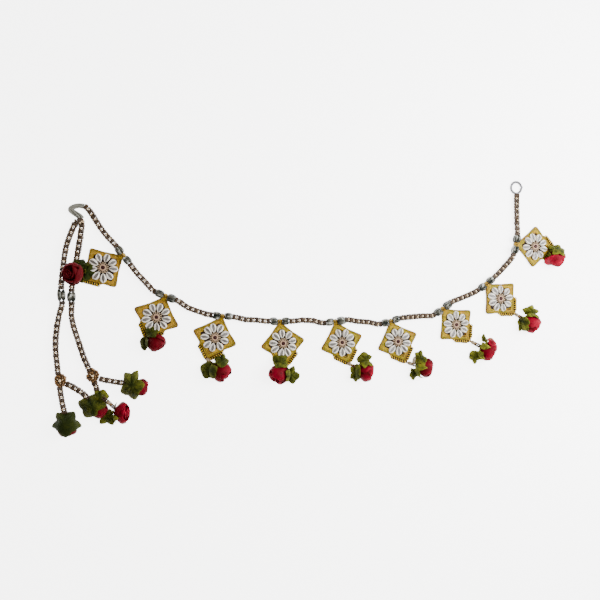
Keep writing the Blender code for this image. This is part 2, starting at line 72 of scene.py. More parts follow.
MM = 0.001
TAU = 2 * math.pi
MIDDLE = (47.94, -3.36)

# Sizes of the solids that the pieces below stand for
ROPE_RADIUS = 5.0
ROPE_STEP = 21.0
STRAIGHT_END = 7.0
CLEAR = 0.3
GLASS_RADIUS = 6.2
GLASS_LENGTH = 13.0
CORE_HALF = 5.5
TILE_HALF = 31.0
TILE_ROUND = 5.0
TILE_TIP_GAP = 2.9
TRIM_WIDTH = 5.5
TRIM_ROUND = 8.0
TRIM_HALF_ANGLE = 50.0
SHELLS = 9
LOOP_RADIUS = 4.0
LOOP_STEP = 5.0
LOOP_STRAIGHT = 3.0
RING_RADIUS = 11.75
RING_WIRE_RADIUS = 1.25
RING_LEAN = 0.8
BUD_SINK = 0.93
TRIM_FADE = 20.0

# Sizes of the pieces that dress the solids, in millimetres
SEED_RADIUS = 1.8
SEED_HALF = 2.35
THREAD_PLACES = ((-2.5, 1.4), (2.5, 1.4), (-2.5, -2.0), (2.5, -2.0))
GLASS_EXTRA = 3.4
GLASS_SPREAD = 3.4
STRAND_GLASS_EXTRA = 2.5
STRAND_GLASS_SPREAD = 3.6
STRAND_GLASS_RADIUS = 4.2
TAB_THICKNESS = 1.1
DISC_SPOKES = 14
LEAF_NOTCH = 0.74
LOOP_STRANDS = 6
LOOP_STRAND_RADIUS = 1.85
RING_WINDING = 1.1

# The shortest cord length that the bead strings compare with, in metres
SHORTEST_CORD = 0.06
# How much longer and wider a leaf is cut than it lies
LEAF_CUT = 1.05

Hanger = namedtuple("Hanger", "x y heading tile_turn")
HANGERS = (
    Hanger(-343, 85, -53, -148),
    Hanger(-264, 8, -22, -113),
    Hanger(-155, -31, -5, -109),
    Hanger(-42, -42, 0, -81),
    Hanger(71, -43, 8, -72),
    Hanger(186, -43, 15, -69),
    Hanger(298, -18, 35, -48),
    Hanger(394, 34, 37, -44),
    Hanger(460, 117, 79, -5),
)
LOOP_END = (-415.0, 177.5)
RING_MIDDLE = (463.5, 237.0)
STRING_VIA = (
    ((-408.9, 174), (-401, 164), (-394, 151), (-381, 131), (-369, 116)),
    ((-315, 48), (-299, 31)),
    ((-227, -12), (-211, -19), (-190, -26)),
    ((-120, -38), (-93, -39)),
    ((4, -40), (30, -42)),
    ((115, -43), (143, -45)),
    ((238, -34), (265, -32)),
    ((345, 6), (364, 14)),
    ((425, 59), (441, 76)),
    ((464, 151), (463, 185)),
)
LOOP_ROUTE = (
    (-415.4, 177.2), (-418, 177.8), (-424, 178.4), (-431, 177.2), (-436.4, 174.6), (-439.2, 172.2),
    (-439.4, 169.8), (-437, 167.4), (-431, 163), (-424.5, 158.4), (-420, 153),
)
KNOT = (-424, 149, 10.5, 6.5, 5.5)  # x, y and the half sizes in X, Y and Z
STRANDS = {
    "strand_left_upper": ((-431, 146), (-441, 122), (-448, 100), (-452, 74), (-454.5, 45)),
    "strand_left_lower": ((-460, -25), (-464, -49), (-467, -79), (-466, -103), (-462, -141)),
    "strand_right_upper": ((-419, 144), (-421, 125), (-425, 100), (-428, 82), (-434, 48)),
    "strand_right_lower": ((-439, -26), (-434, -52), (-427, -74), (-413, -116), (-404, -136)),
    "drop_left_down": ((-459.5, -162.5), (-457, -182), (-454, -198), (-450, -216), (-449, -226)),
    "drop_left_across": ((-448.5, -157), (-434, -164), (-420, -174), (-410, -183), (-398, -197)),
    "drop_right_down": ((-397.5, -154.5), (-394, -162), (-391.5, -173)),
    "drop_right_across": ((-388, -149), (-375, -153), (-357, -156), (-348, -157), (-327, -161)),
}
StrandGlass = namedtuple("StrandGlass", "name x y heading length radius above below")
STRAND_GLASS = (
    StrandGlass("glass_left", -456, 9, 93, 21, 6.6, "strand_left_upper", "strand_left_lower"),
    StrandGlass("glass_right", -437.8, 6, 90, 17, 6.9, "strand_right_upper", "strand_right_lower"),
)
Rosette = namedtuple("Rosette", "name x y half_x half_y half_z")
ROSETTES = (
    Rosette("rosette_left", -458, -151, 12.5, 14.5, 7.5),
    Rosette("rosette_right", -399, -143, 12.5, 13.5, 7),
)

# point is the way that the bud opens on the plan, tilt how far its mouth is turned upwards, and shade the
# painted light on its satin and leaves: low values paint shade on the roses to the left
Rose = namedtuple("Rose", "name x y point long wide tall lift tile tilt shade")
ROSES = (
    Rose("rose_1", -431.5, 49.5, 190, 42, 43, 28, 10.3, 1, 62, 0.1),
    Rose("rose_2", -282, -80, -55, 36, 37, 29, 0, 2, 14, 0.28),
    Rose("rose_3", -159, -138, -45, 41, 41, 30, 0, 3, 12, 0.45),
    Rose("rose_4", -44, -145, -130, 41, 41, 30, 0, 4, 10, 0.6),
    Rose("rose_5", 131, -144, -15, 38, 41, 29, 0, 5, 12, 1.0),
    Rose("rose_6", 256, -138, -15, 38, 41, 30, 0, 6, 8, 0.75),
    Rose("rose_7", 394, -104, -25, 36, 44, 30, 0, 7, 12, 0.9),
    Rose("rose_8", 492, -49, -40, 40, 39, 29, 0, 8, 12, 1.0),
    Rose("rose_9", 549, 90, -30, 40, 37, 28, 0, 9, 12, 1.0),
    Rose("end_rose_1", -445, -239, -80, 36, 36, 26, 0, None, 0, 0.05),
    Rose("end_rose_2", -387, -207, -42, 32, 32, 24, 0, None, 10, 0.35),
    Rose("end_rose_3", -346, -214, 0, 31, 43, 28, 0, None, 30, 0.75),
    Rose("end_rose_4", -312, -166, -12, 33, 34, 24, 0, None, 8, 0.45),
)
# bare is a heading by which a leaf is cut back, if any
Leaf = namedtuple("Leaf", "rose x y long wide turn lobes middle edge bare", defaults=(None,))
LEAVES = (
    Leaf("rose_1", -422, 66, 34, 24, 5, 5, 20, 9),
    Leaf("rose_1", -410, 54, 36, 36, -20, 5, 15, 6.5),
    Leaf("rose_2", -289, -61, 27, 22, 10, 5, 14, 8),
    Leaf("rose_2", -305, -84, 21, 28, 100, 2, 10, 6.5),
    Leaf("rose_3", -181, -136, 34, 37, 20, 5, 12, 6.5),
    Leaf("rose_3", -156, -117, 28, 26, -15, 4, 18, 11),
    Leaf("rose_4", -42.5, -121, 36, 28, 140, 4, 16, 8),
    Leaf("rose_4", -19.5, -149, 34, 37, 0, 5, 10, 6.5),
    Leaf("rose_5", 132, -121, 33, 33, 25, 5, 16, 8),
    Leaf("rose_5", 112, -147, 24, 40, 0, 5, 12, 6.5, 0),
    Leaf("rose_6", 246, -119, 23, 34, 70, 5, 19, 10),
    Leaf("rose_6", 235, -150, 18, 29, 200, 5, 11, 5),
    Leaf("rose_7", 370, -119, 25, 28, 200, 5, 9, 3),
    Leaf("rose_7", 387, -80, 11, 20, 80, 4, 16, 9),
    Leaf("rose_8", 495, -25, 39, 29, 10, 5, 13, 6),
    Leaf("rose_8", 474, -52, 21, 35, 90, 5, 10, 5, 0),
    Leaf("rose_9", 550, 105, 41, 27, 0, 5, 19, 10),
    Leaf("end_rose_1", -448, -231, 56, 50, 54, 5, 25.5, 6),
    Leaf("end_rose_2", -398, -200, 56, 47, 14, 5, 24, 8, -42),
    Leaf("end_rose_3", -384, -181, 32, 27, 65, 5, 21, 15),
    Leaf("end_rose_3", -372, -223, 43, 32, 10, 5, 10, 4),
    Leaf("end_rose_4", -326, -161, 48, 60, 66, 5, 24, 7),
)
# Outer petals that lie loose, with one tip each
LOOSE_PETALS = (
    Leaf("rose_7", 399, -89, 24, 20, 75, 1, 17, 12),
    Leaf("rose_9", 542, 84, 30, 24, 195, 1, 15, 3),
)
# Of each tile: how far its side corners stand out, and the heading of a shell
SIDE_FLARES = (0.5, 2.4, 1.4, 1.2, 1.2, 1.0, 0.8, 0.8, 0.5)
SHELL_HEADINGS = (71, 70, 98, 96, 70, 73, 90, 86, 66)
LONG_STEM = {"end_rose_3": ((-391, -174.6, 5), (-384, -180, 17), (-369, -193, 19), (-352, -211, 13))}
# A long white bead beside a stem: x, y and heading
SIDE_BEADS = {"rose_6": (237, -124, 80)}
PALE_SEPALS = ("rose_6", "rose_7")
STEM_BEADS = {
    "rose_6": (0.3, 0.65),
    "rose_7": (0.25, 0.55),
    "rose_8": (0.2, 0.45),
    "end_rose_3": (0.62,),
}

# Layers of a rose: how many petals, their distance from the bud's axis, half their width in degrees, how
# far forward they reach and how much their lip curls out. Distances are shares of the bud's half size.
Layer = namedtuple("Layer", "petals away half_width reach curl turn")
PETAL_LAYERS = (
    Layer(2, 0.46, 105, 0.97, 0.02, 20),
    Layer(3, 0.76, 84, 0.95, 0.04, 50),
    Layer(3, 0.98, 84, 0.86, 0.06, 5),
)

# The stage, in metres, degrees and watts. The camera leans left of straight down over the plan's zero point.
CAMERA_LEAN = 10.0
CAMERA_AWAY = 1.4
CAMERA_LENS = 42
CAMERA_SENSOR = 36
TABLE_HALF = 12.0
TABLE_LEVEL = -0.0004
TABLE_GLOW = 5.0
WORLD_COLOUR = (1.0, 0.985, 0.96, 1.0)
WORLD_STRENGTH = 0.27
Light = namedtuple("Light", "name place aim size power colour")
LIGHTS = (
    Light("right_window", (1.0, 0.2, 0.85), (0.34, 0.0, 0.0), 0.9, 39, (0.98, 0.99, 1.0)),
    Light("top_softbox", (0.45, 0.4, 1.9), (0.1, 0.0, 0.0), 1.2, 18, (1.0, 0.96, 0.9)),
    Light("left_warm", (-1.1, -0.4, 0.9), (-0.4, 0.0, 0.0), 0.6, 2.5, (1.0, 0.8, 0.6)),
)


# Faces and meshes

Patch = namedtuple("Patch", "points faces corners tone slot")

# A bead's form: the rows and sides of its mesh, and how full its outline is
BeadForm = namedtuple("BeadForm", "rows around fullness")
BARREL_FORM = BeadForm(5, 8, 2.8)
SEED_FORM = BeadForm(5, 8, 2.0)
BUNCHED_FORM = BeadForm(5, 8, 2.4)
BUGLE_FORM = BeadForm(5, 8, 5.0)
ROUND_FORM = BeadForm(6, 10, 2.0)
PEBBLE_FORM = BeadForm(6, 10, 2.2)
LONG_FORM = BeadForm(6, 12, 2.2)
OVAL_FORM = BeadForm(7, 14, 2.3)


def grid_faces(rows, columns, close_rows=False, close_columns=False):
    """The four-cornered faces of a grid of points, and each corner's place on it from 0 to 1.

    A face runs along its row first, so it points to where the column's way crosses the row's way.
    """
    i = np.arange(rows if close_rows else rows - 1)[:, None]
    j = np.arange(columns if close_columns else columns - 1)
    near, far = i * columns, (i + 1) % rows * columns
    left, right = j, (j + 1) % columns
    faces = np.stack((near + left, near + right, far + right, far + left), axis=-1)
    u = np.broadcast_arrays(j / columns, i)[0], np.broadcast_arrays((j + 1) / columns, i)[0]
    v = np.broadcast_arrays(i / rows, j)[0], np.broadcast_arrays((i + 1) / rows, j)[0]
    corners = np.stack((u[0], v[0], u[1], v[0], u[1], v[1], u[0], v[1]), axis=-1)
    return faces.reshape(-1, 4), corners.reshape(-1, 4, 2)


def closed_faces(rows, columns):
    """Faces of a skin whose rings lie between two poles: the first pole, the rings, then the last pole."""
    quads, corners = grid_faces(rows, columns, close_columns=True)
    j = np.arange(columns)
    following = (j + 1) % columns
    last_ring = 1 + (rows - 1) * columns
    first = np.stack((0 * j, 1 + following, 1 + j), axis=-1)
    last = np.stack((0 * j + 1 + rows * columns, last_ring + j, last_ring + following), axis=-1)
    u0, u1, half = j / columns, (j + 1) / columns, (j + 0.5) / columns
    first_corners = np.stack((half, 0 * half, u1, 0 * u1 + 0.02, u0, 0 * u0 + 0.02), axis=-1)
    last_corners = np.stack((half, 0 * half + 1, u0, 0 * u0 + 0.98, u1, 0 * u1 + 0.98), axis=-1)
    return [first, quads + 1, last], [
        first_corners.reshape(-1, 3, 2), corners, last_corners.reshape(-1, 3, 2)]


def closed_patch(points, rows, columns, slot=0, tone=0.5, stretch=(1.0, 1.0)):
    """A closed skin from its first pole, its rings and its last pole. stretch scales its UV map."""
    faces, corners = closed_faces(rows, columns)
    tone = np.broadcast_to(tone, len(points))
    return Patch(points, faces, [c * stretch for c in corners], tone, slot)


def build(name, patches, materials):
    """One object from patches of points in plan millimetres. Its place is in its mesh."""
    points = np.vstack([patch.points for patch in patches]) - (*MIDDLE, 0.0)
    loops, sizes, corners, slots = [], [], [], []
    offset = 0
    for patch in patches:
        for faces, places in zip(patch.faces, patch.corners):
            loops.append((faces + offset).ravel())
            sizes.append(np.full(len(faces), faces.shape[1]))
            corners.append(places.reshape(-1, 2))
            slots.append(np.full(len(faces), patch.slot))
        offset += len(patch.points)
    loops, sizes = np.concatenate(loops), np.concatenate(sizes)
    mesh = bpy.data.meshes.new(name)
    mesh.vertices.add(len(points))
    mesh.vertices.foreach_set("co", (points * MM).ravel())
    mesh.loops.add(len(loops))
    mesh.loops.foreach_set("vertex_index", loops)
    mesh.polygons.add(len(sizes))
    mesh.polygons.foreach_set("loop_start", np.cumsum(sizes) - sizes)
    mesh.polygons.foreach_set("material_index", np.concatenate(slots))
    mesh.uv_layers.new(name="UVMap").data.foreach_set("uv", np.concatenate(corners).ravel())
    tone = mesh.attributes.new("tone", "FLOAT", "POINT")
    tone.data.foreach_set("value", np.concatenate([patch.tone for patch in patches]))
    mesh.update(calc_edges=True)
    mesh.validate()
    mesh.shade_smooth()
    for material in materials:
        mesh.materials.append(material)
    obj = bpy.data.objects.new(name, mesh)
    bpy.context.scene.collection.objects.link(obj)
    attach(obj, "root")
    return obj


def thicken(obj, thickness):
    """Gives an open sheet its thickness, half to each side."""
    modifier = obj.modifiers.new("cloth", "SOLIDIFY")
    modifier.thickness = thickness * MM
    modifier.offset = 0.0
    modifier.use_even_offset = False
    return obj


# Routes

UPRIGHT = np.eye(3)


def heading_vector(degrees):
    """The direction of a heading on the plan: its cosine and its sine."""
    return np.array((math.cos(math.radians(degrees)), math.sin(math.radians(degrees))))


def level_axes(degrees):
    """The direction of a heading, the one to its left, and straight up, each of length 1."""
    ahead = np.array((*heading_vector(degrees), 0.0))
    return ahead, np.array((-ahead[1], ahead[0], 0.0)), UPRIGHT[2]


def at_height(points, height):
    """Plan places, all at one height."""
    return [(x, y, height) for x, y in points]


def smooth_route(points, step, straight=0.0):
    """Points on the Catmull-Rom curve through the given ones, evenly spaced but for a straight end."""
    given = np.array(points, float)
    given = np.vstack((2 * given[0] - given[1], given, 2 * given[-1] - given[-2]))
    share = np.linspace(0, 1, 24, endpoint=False)[:, None]
    fine = []
    for a, b, c, d in zip(given, given[1:], given[2:], given[3:]):
        bend = 2 * a - 5 * b + 4 * c - d
        twist = 3 * b - a - 3 * c + d
        fine.append(0.5 * (2 * b + (c - a) * share + bend * share**2 + twist * share**3))
    fine = np.vstack((*fine, given[-2]))
    along = distances(fine)
    inner = along[-1] - 2 * straight
    at = np.linspace(straight, along[-1] - straight, max(3, round(inner / step) + 1))
    if straight:
        at = np.concatenate(([0], at, [along[-1]]))
    return on_route(fine, at)


def distances(route):
    """How far each point of a route is from its start: the running sum of the steps' lengths."""
    steps = np.linalg.norm(np.diff(route, axis=0), axis=1)
    return np.concatenate(([0], np.cumsum(steps)))


def on_route(route, at):
    """The places at given distances along a route."""
    along = distances(route)
    return np.stack([np.interp(at, along, column) for column in route.T], axis=-1)


def axes_on_route(route, at, window=2.0, side=None):
    """At given distances along a route: the directions across it, up from it and along it.

    The first one is level, or the given one where the route lies in an upright plane.
    """
    ahead = on_route(route, np.asarray(at) + window) - on_route(route, np.asarray(at) - window)
    ahead /= np.linalg.norm(ahead, axis=-1, keepdims=True)
    if side is None:
        side = np.cross((0.0, 0.0, 1.0), ahead)
        side /= np.linalg.norm(side, axis=-1, keepdims=True)
    return side + 0 * ahead, np.cross(ahead, side), ahead


def ripple(a, b, seed, waves=6):
    """An uneven field, mostly between -1 and 1: sine waves whose headings and phases come from the seed."""
    draw = np.random.default_rng(seed)
    heading, phase = draw.uniform(0, TAU, (2, waves))
    pace = draw.uniform(0.6, 1.7, waves)
    a, b = np.broadcast_arrays(np.asarray(a, float)[..., None], np.asarray(b, float)[..., None])
    return np.sin(pace * (a * np.cos(heading) + b * np.sin(heading)) + phase).sum(-1) / math.sqrt(waves)


# Shapes

def turned_shape(profile, around):
    """A closed skin about the Z axis: rings of the profile's radii at its heights. Both ends are poles."""
    profile = np.array(profile, float)
    angle = np.arange(around) * TAU / around
    height, radius = profile[1:-1, :1], profile[1:-1, 1:]
    ring = np.stack(
        (radius * np.cos(angle), radius * np.sin(angle), np.repeat(height, around, 1)), axis=-1)
    return np.vstack(((0, 0, profile[0, 0]), ring.reshape(-1, 3), (0, 0, profile[-1, 0])))


def bead_profile(rows, fullness):
    """A bead from end to end, length and radius both 1: radius is a root of 1 less a power of height."""
    height = -np.cos(np.linspace(0, math.pi, rows + 2))
    radius = (1 - np.abs(height) ** fullness) ** (1 / fullness)
    return np.stack((height, radius), axis=-1)


def scatter(shape, rows, around, centres, axes, sizes, slot=0, tone=0.5):
    """Copies of one closed shape: its X, Y and Z lie along each copy's axes, times each copy's sizes."""
    centres, sizes = np.asarray(centres, float), np.asarray(sizes, float)
    count = len(centres)
    scaled = shape[None] * np.broadcast_to(sizes, (count, 3))[:, None]
    points = centres[:, None] + sum(
        scaled[..., k : k + 1] * np.broadcast_to(axes[k], (count, 3))[:, None] for k in range(3))
    faces, corners = closed_faces(rows, around)
    step = np.arange(count)[:, None, None] * len(shape)
    faces = [(step + face).reshape(-1, face.shape[1]) for face in faces]
    corners = [np.tile(corner, (count, 1, 1)) for corner in corners]
    tone = np.repeat(np.broadcast_to(tone, count), len(shape))
    return Patch(points.reshape(-1, 3), faces, corners, tone, slot)


def bead_copies(form, centres, axes, sizes, slot=0, tone=0.5):
    """Copies of one bead of that form. Their sizes are the radius, the radius and half the length."""
    shape = turned_shape(bead_profile(form.rows, form.fullness), form.around)
    return scatter(shape, form.rows, form.around, centres, axes, sizes, slot, tone)


def tube(route, radius, around, slot, across=None):
    """A closed round tube along a route. The radius may differ from ring to ring and round each ring."""
    route = np.asarray(route, float)
    at = distances(route)
    centre = on_route(route, at)
    side, up, _ = axes_on_route(route, at, 1.0, across)
    angle = np.arange(around) * TAU / around
    radius = np.broadcast_to(np.asarray(radius, float), (len(at), around))[..., None]
    ring = centre[:, None] + radius * (
        np.cos(angle)[:, None] * side[:, None] + np.sin(angle)[:, None] * up[:, None])
    points = np.vstack((centre[:1], ring.reshape(-1, 3), centre[-1:]))
    return closed_patch(points, len(at), around, slot, stretch=(1.0, at[-1] / 10))


# Materials

class Finish:
    """A material under construction: its nodes are added and joined through these few calls."""

    def __init__(self, name, **sockets):
        self.material = bpy.data.materials.new(name)
        self.material.use_nodes = True
        self.tree = self.material.node_tree
        self.shader = self.tree.nodes["Principled BSDF"]
        for label, value in sockets.items():
            self.shader.inputs[label.replace("_", " ")].default_value = value

    def node(self, kind, settings=(), **sockets):
        made = self.tree.nodes.new("ShaderNode" + kind)
        for label, value in dict(settings).items():
            setattr(made, label, value)
        for label, value in sockets.items():
            self.put(made.inputs[label.replace("_", " ")], value)
        return made

    def put(self, socket, value):
        if isinstance(value, bpy.types.NodeSocket):
            self.tree.links.new(value, socket)
        else:
            socket.default_value = value

    def place(self):
        return self.node("TexCoord").outputs["Object"]

    def uv(self, scale=(1, 1, 1)):
        source = self.node("TexCoord").outputs["UV"]
        return self.node("Mapping", Vector=source, Scale=scale).outputs["Vector"]

    def tone(self):
        return self.node("Attribute", {"attribute_name": "tone"}).outputs["Fac"]

    def noise(self, vector, scale, detail=3.0, rough=0.55):
        made = self.node("TexNoise", Vector=vector, Scale=scale, Detail=detail, Roughness=rough)
        return made.outputs["Fac"]

    def wave(self, vector, scale, along="X", distortion=0.0, detail=0.0):
        made = self.node(
            "TexWave", {"wave_type": "BANDS", "bands_direction": along},
            Vector=vector, Scale=scale, Distortion=distortion, Detail=detail)
        return made.outputs["Fac"]

    def math(self, operation, first, second=0.5, clamp=False):
        made = self.tree.nodes.new("ShaderNodeMath")
        made.operation = operation
        made.use_clamp = clamp
        for socket, value in zip(made.inputs, (first, second)):
            self.put(socket, value)
        return made.outputs[0]

    def spread(self, value, low, high, to_low=0.0, to_high=1.0):
        made = self.node("MapRange", Value=value)
        for label, number in zip(("From Min", "From Max", "To Min", "To Max"), (low, high, to_low, to_high)):
            made.inputs[label].default_value = number
        return made.outputs["Result"]

    def mix(self, factor, first, second):
        made = self.tree.nodes.new("ShaderNodeMix")
        made.data_type = "RGBA"
        for index, value in zip((0, 6, 7), (factor, first, second)):
            if isinstance(value, (tuple, list)) and len(value) == 3:
                value = (*value, 1.0)
            self.put(made.inputs[index], value)
        return made.outputs[2]

    def colour(self, value):
        self.put(self.shader.inputs["Base Color"], value)

    def roughness(self, value):
        self.put(self.shader.inputs["Roughness"], value)

    def bump(self, height, distance, strength=0.6):
        made = self.node("Bump", Height=height, Distance=distance * MM, Strength=strength)
        self.put(self.shader.inputs["Normal"], made.outputs["Normal"])


def shade_of(colour, factor):
    """A colour times a factor, with no channel over 1."""
    return tuple(min(1.0, channel * factor) for channel in colour)


def bead_finish(name, colour, light, metallic, roughness, coat):
    """Glazed beads: each has its own tone, with faint blotches and fine scratches."""
    finish = Finish(name, Metallic=metallic, Specular_IOR_Level=0.25, Coat_Weight=coat, Coat_Roughness=0.08)
    blotch = finish.noise(finish.place(), 420, 3)
    mixed = finish.mix(finish.tone(), shade_of(colour, 0.55), light)
    finish.colour(finish.mix(finish.spread(blotch, 0.35, 0.7), mixed, shade_of(colour, 1.15)))
    finish.roughness(finish.spread(blotch, 0.3, 0.7, roughness * 0.75, roughness * 1.5))
    finish.bump(finish.noise(finish.place(), 900, 2), 0.12, 0.25)
    return finish.material


def glass_finish(name, colour, dark):
    """Half-clear moulded glass: broad clouds from dark to light, painted pale glints and faint streaks."""
    finish = Finish(name, IOR=1.5, Transmission_Weight=0.1, Specular_IOR_Level=0.22)
    cloud = finish.noise(finish.place(), 130, 2, 0.5)
    streak = finish.noise(finish.uv((9, 1.2, 1)), 1.6, 2)
    both = finish.math("ADD", finish.math("MULTIPLY", cloud, 0.7), finish.math("MULTIPLY", streak, 0.3))
    base = finish.mix(finish.spread(both, 0.42, 0.62), dark, colour)
    # Painted glints: pale spots where the clouds are brightest.
    finish.colour(finish.mix(finish.spread(cloud, 0.6, 0.7, 0.0, 0.8), base, (0.62, 0.64, 0.6)))
    finish.roughness(finish.spread(streak, 0.3, 0.7, 0.04, 0.14))
    finish.bump(streak, 0.2, 0.15)
    return finish.material


def brocade_finish(name, gold, olive, orange):
    """Metallic brocade: ribs both ways with painted shade in their grooves, a mottle of gold, olive and orange
    threads, painted glints, painted warm shade on the left tiles, corded edges.
    """
    finish = Finish(name, Metallic=0.1, Specular_IOR_Level=0.15)
    cloth = finish.uv((62, 62, 1))
    rib = finish.wave(cloth, 0.5, "X", 1.2, 1.0)
    cross = finish.wave(cloth, 0.38, "Y", 1.6, 1.0)
    weave = finish.math("MULTIPLY", rib, cross)
    shifted = finish.node("VectorMath", {"operation": "ADD"}, Vector=cloth)
    offset = finish.node("CombineXYZ", X=finish.math("MULTIPLY", finish.tone(), 90.0))
    finish.put(shifted.inputs[1], offset.outputs[0])
    wide = finish.noise(shifted.outputs[0], 0.045, 2, 0.5)
    patch = finish.noise(shifted.outputs[0], 0.19, 4, 0.7)
    # Flecks of dark olive thread, and bright flecks that are painted glints.
    flecks_and_glints = finish.noise(shifted.outputs[0], 0.9, 2, 0.6)
    base = finish.mix(finish.spread(patch, 0.43, 0.56), olive, gold)
    base = finish.mix(finish.spread(wide, 0.5, 0.66, 0.0, 0.75), base, orange)
    base = finish.mix(finish.spread(wide, 0.46, 0.34, 0.0, 0.6), base, shade_of(olive, 1.25))
    # Painted warm shade: tiles with a low tone, those to the left, are tinted towards orange.
    base = finish.mix(finish.spread(finish.tone(), 0.5, 0.05, 0.0, 0.5), base, shade_of(orange, 1.15))
    # Painted glints: the brightest flecks are lightened towards a pale gold.
    base = finish.mix(finish.spread(flecks_and_glints, 0.55, 0.68), base, shade_of(gold, 1.6))
    base = finish.mix(finish.spread(flecks_and_glints, 0.45, 0.3), base, shade_of(olive, 0.3))
    split = finish.node("SeparateXYZ", Vector=finish.uv())
    far = [finish.math("ABSOLUTE", finish.math("SUBTRACT", split.outputs[k], 0.5)) for k in (0, 1)]
    far = finish.math("MAXIMUM", *far)
    piping = finish.math("MULTIPLY", finish.spread(far, 0.425, 0.44), finish.spread(far, 0.47, 0.455))
    base = finish.mix(finish.math("MULTIPLY", piping, 0.65), base, shade_of(olive, 0.35))
    base = finish.mix(finish.spread(far, 0.47, 0.487), base, shade_of(orange, 0.22))
    # Painted shade: darker towards the grooves of the weave between the ribs.
    finish.colour(finish.mix(finish.spread(weave, 0.0, 0.6, 0.35, 0.0), base, shade_of(olive, 0.3)))
    finish.roughness(finish.spread(flecks_and_glints, 0.35, 0.65, 0.5, 0.3))
    finish.bump(finish.math("ADD", weave, finish.math("MULTIPLY", flecks_and_glints, 0.8)), 0.4, 0.8)
    return finish.material


def pile_finish(name, colour, sheen):
    """Dark velvet or felt: a short uneven nap with a soft sheen."""
    finish = Finish(name, Roughness=0.9, Sheen_Weight=sheen, Sheen_Roughness=0.4)
    nap = finish.noise(finish.place(), 1500, 2)
    finish.colour(finish.mix(finish.spread(nap, 0.35, 0.65), shade_of(colour, 0.55), shade_of(colour, 1.4)))
    finish.bump(nap, 0.4, 0.8)
    return finish.material


def shell_finish(name, colour, slit):
    """Cowrie shell: glossy porcelain white, a grey slit with fine teeth, whose grey is painted shade in the
    groove, and faint warm stains.
    """
    finish = Finish(name, Coat_Weight=0.35, Coat_Roughness=0.12, Subsurface_Weight=0.08)
    finish.shader.inputs["Subsurface Radius"].default_value = (0.001, 0.0008, 0.0006)
    finish.shader.inputs["Subsurface Scale"].default_value = 0.6
    along = finish.node("SeparateXYZ", Vector=finish.uv()).outputs[1]
    teeth = finish.math("SINE", finish.math("MULTIPLY", along, 130.0))
    # The tone marks the slit's groove; its grey there is painted shade, broken by the pale teeth.
    lips = finish.spread(finish.tone(), 0.2, 0.8)
    stain = finish.noise(finish.place(), 190, 3)
    base = finish.mix(finish.spread(stain, 0.5, 0.78), colour, shade_of(slit, 3.4))
    mouth = finish.math("MULTIPLY", lips, finish.spread(teeth, -1.0, 0.6, 0.84, 1.0))
    finish.colour(finish.mix(finish.math("MINIMUM", mouth, 1.0, clamp=True), base, slit))
    finish.roughness(finish.spread(stain, 0.3, 0.7, 0.2, 0.38))
    finish.bump(finish.math("MULTIPLY", teeth, lips), 0.3, 0.4)
    return finish.material


def stitched_finish(name, colour, dark):
    """Thread sewn out from a middle: fine spokes with painted shade in the gaps between them."""
    finish = Finish(name, Specular_IOR_Level=0.2)
    turn = finish.node("SeparateXYZ", Vector=finish.uv()).outputs[0]
    spoke = finish.math("SINE", finish.math("MULTIPLY", turn, TAU * DISC_SPOKES))
    worn = finish.noise(finish.place(), 500, 3)
    base = finish.mix(finish.spread(worn, 0.3, 0.7), shade_of(colour, 0.7), shade_of(colour, 1.25))
    # The gaps between the spokes, where the dome dips, get painted shade.
    finish.colour(finish.mix(finish.spread(spoke, 0.75, 0.0), base, dark))
    finish.roughness(finish.spread(worn, 0.3, 0.7, 0.5, 0.8))
    finish.bump(spoke, 0.35, 0.7)
    return finish.material


def satin_finish(name, colour, dark, bright):
    """Red satin: a fine twill, painted shade of deeper red in soft folds, and painted highlights on the crests.
    """
    finish = Finish(name, Specular_IOR_Level=0.08)
    fold = finish.noise(finish.place(), 95, 4, 0.6)
    twill = finish.wave(finish.place(), 900, "DIAGONAL", 0.6)
    tone = finish.tone()
    # Painted shade: a low tone, deep in the bud and at tucked edges, mixes in the deep red.
    base = finish.mix(tone, dark, colour)
    # Painted highlight: crests of the folds, where the tone is high, take the bright red.
    crest = finish.math("MULTIPLY", finish.spread(fold, 0.5, 0.72), finish.spread(tone, 0.2, 0.9))
    base = finish.mix(crest, base, bright)
    # Painted shade: the folds of the noise take the deep red.
    finish.colour(finish.mix(finish.spread(fold, 0.44, 0.26), base, dark))
    finish.roughness(finish.spread(fold, 0.3, 0.7, 0.5, 0.7))
    crease = finish.noise(finish.place(), 240, 3, 0.55)
    finish.bump(finish.math("ADD", crease, finish.math("MULTIPLY", twill, 0.12)), 0.7, 0.5)
    return finish.material


def leaf_finish(name, colour, dark):
    """Olive leaf cloth: plain weave, with painted shade where the tone is low, towards creases and the middle,
    lighter at the rim.
    """
    finish = Finish(name, Specular_IOR_Level=0.04)
    mottle = finish.noise(finish.place(), 130, 4, 0.62)
    threads = finish.math(
        "MULTIPLY", finish.wave(finish.place(), 420, "X", 0.8), finish.wave(finish.place(), 420, "Y", 0.8))
    worn = finish.mix(finish.spread(mottle, 0.5, 0.75), colour, shade_of(colour, 1.5))
    # Painted shade: a low tone mixes in the dark colour.
    base = finish.mix(finish.spread(finish.tone(), 0.05, 0.9), dark, worn)
    finish.colour(finish.mix(finish.spread(mottle, 0.5, 0.32), base, dark))
    finish.roughness(finish.spread(mottle, 0.3, 0.7, 0.62, 0.88))
    crease = finish.noise(finish.place(), 330, 3)
    finish.bump(finish.math("ADD", crease, finish.math("MULTIPLY", threads, 0.3)), 0.8, 0.6)
    return finish.material


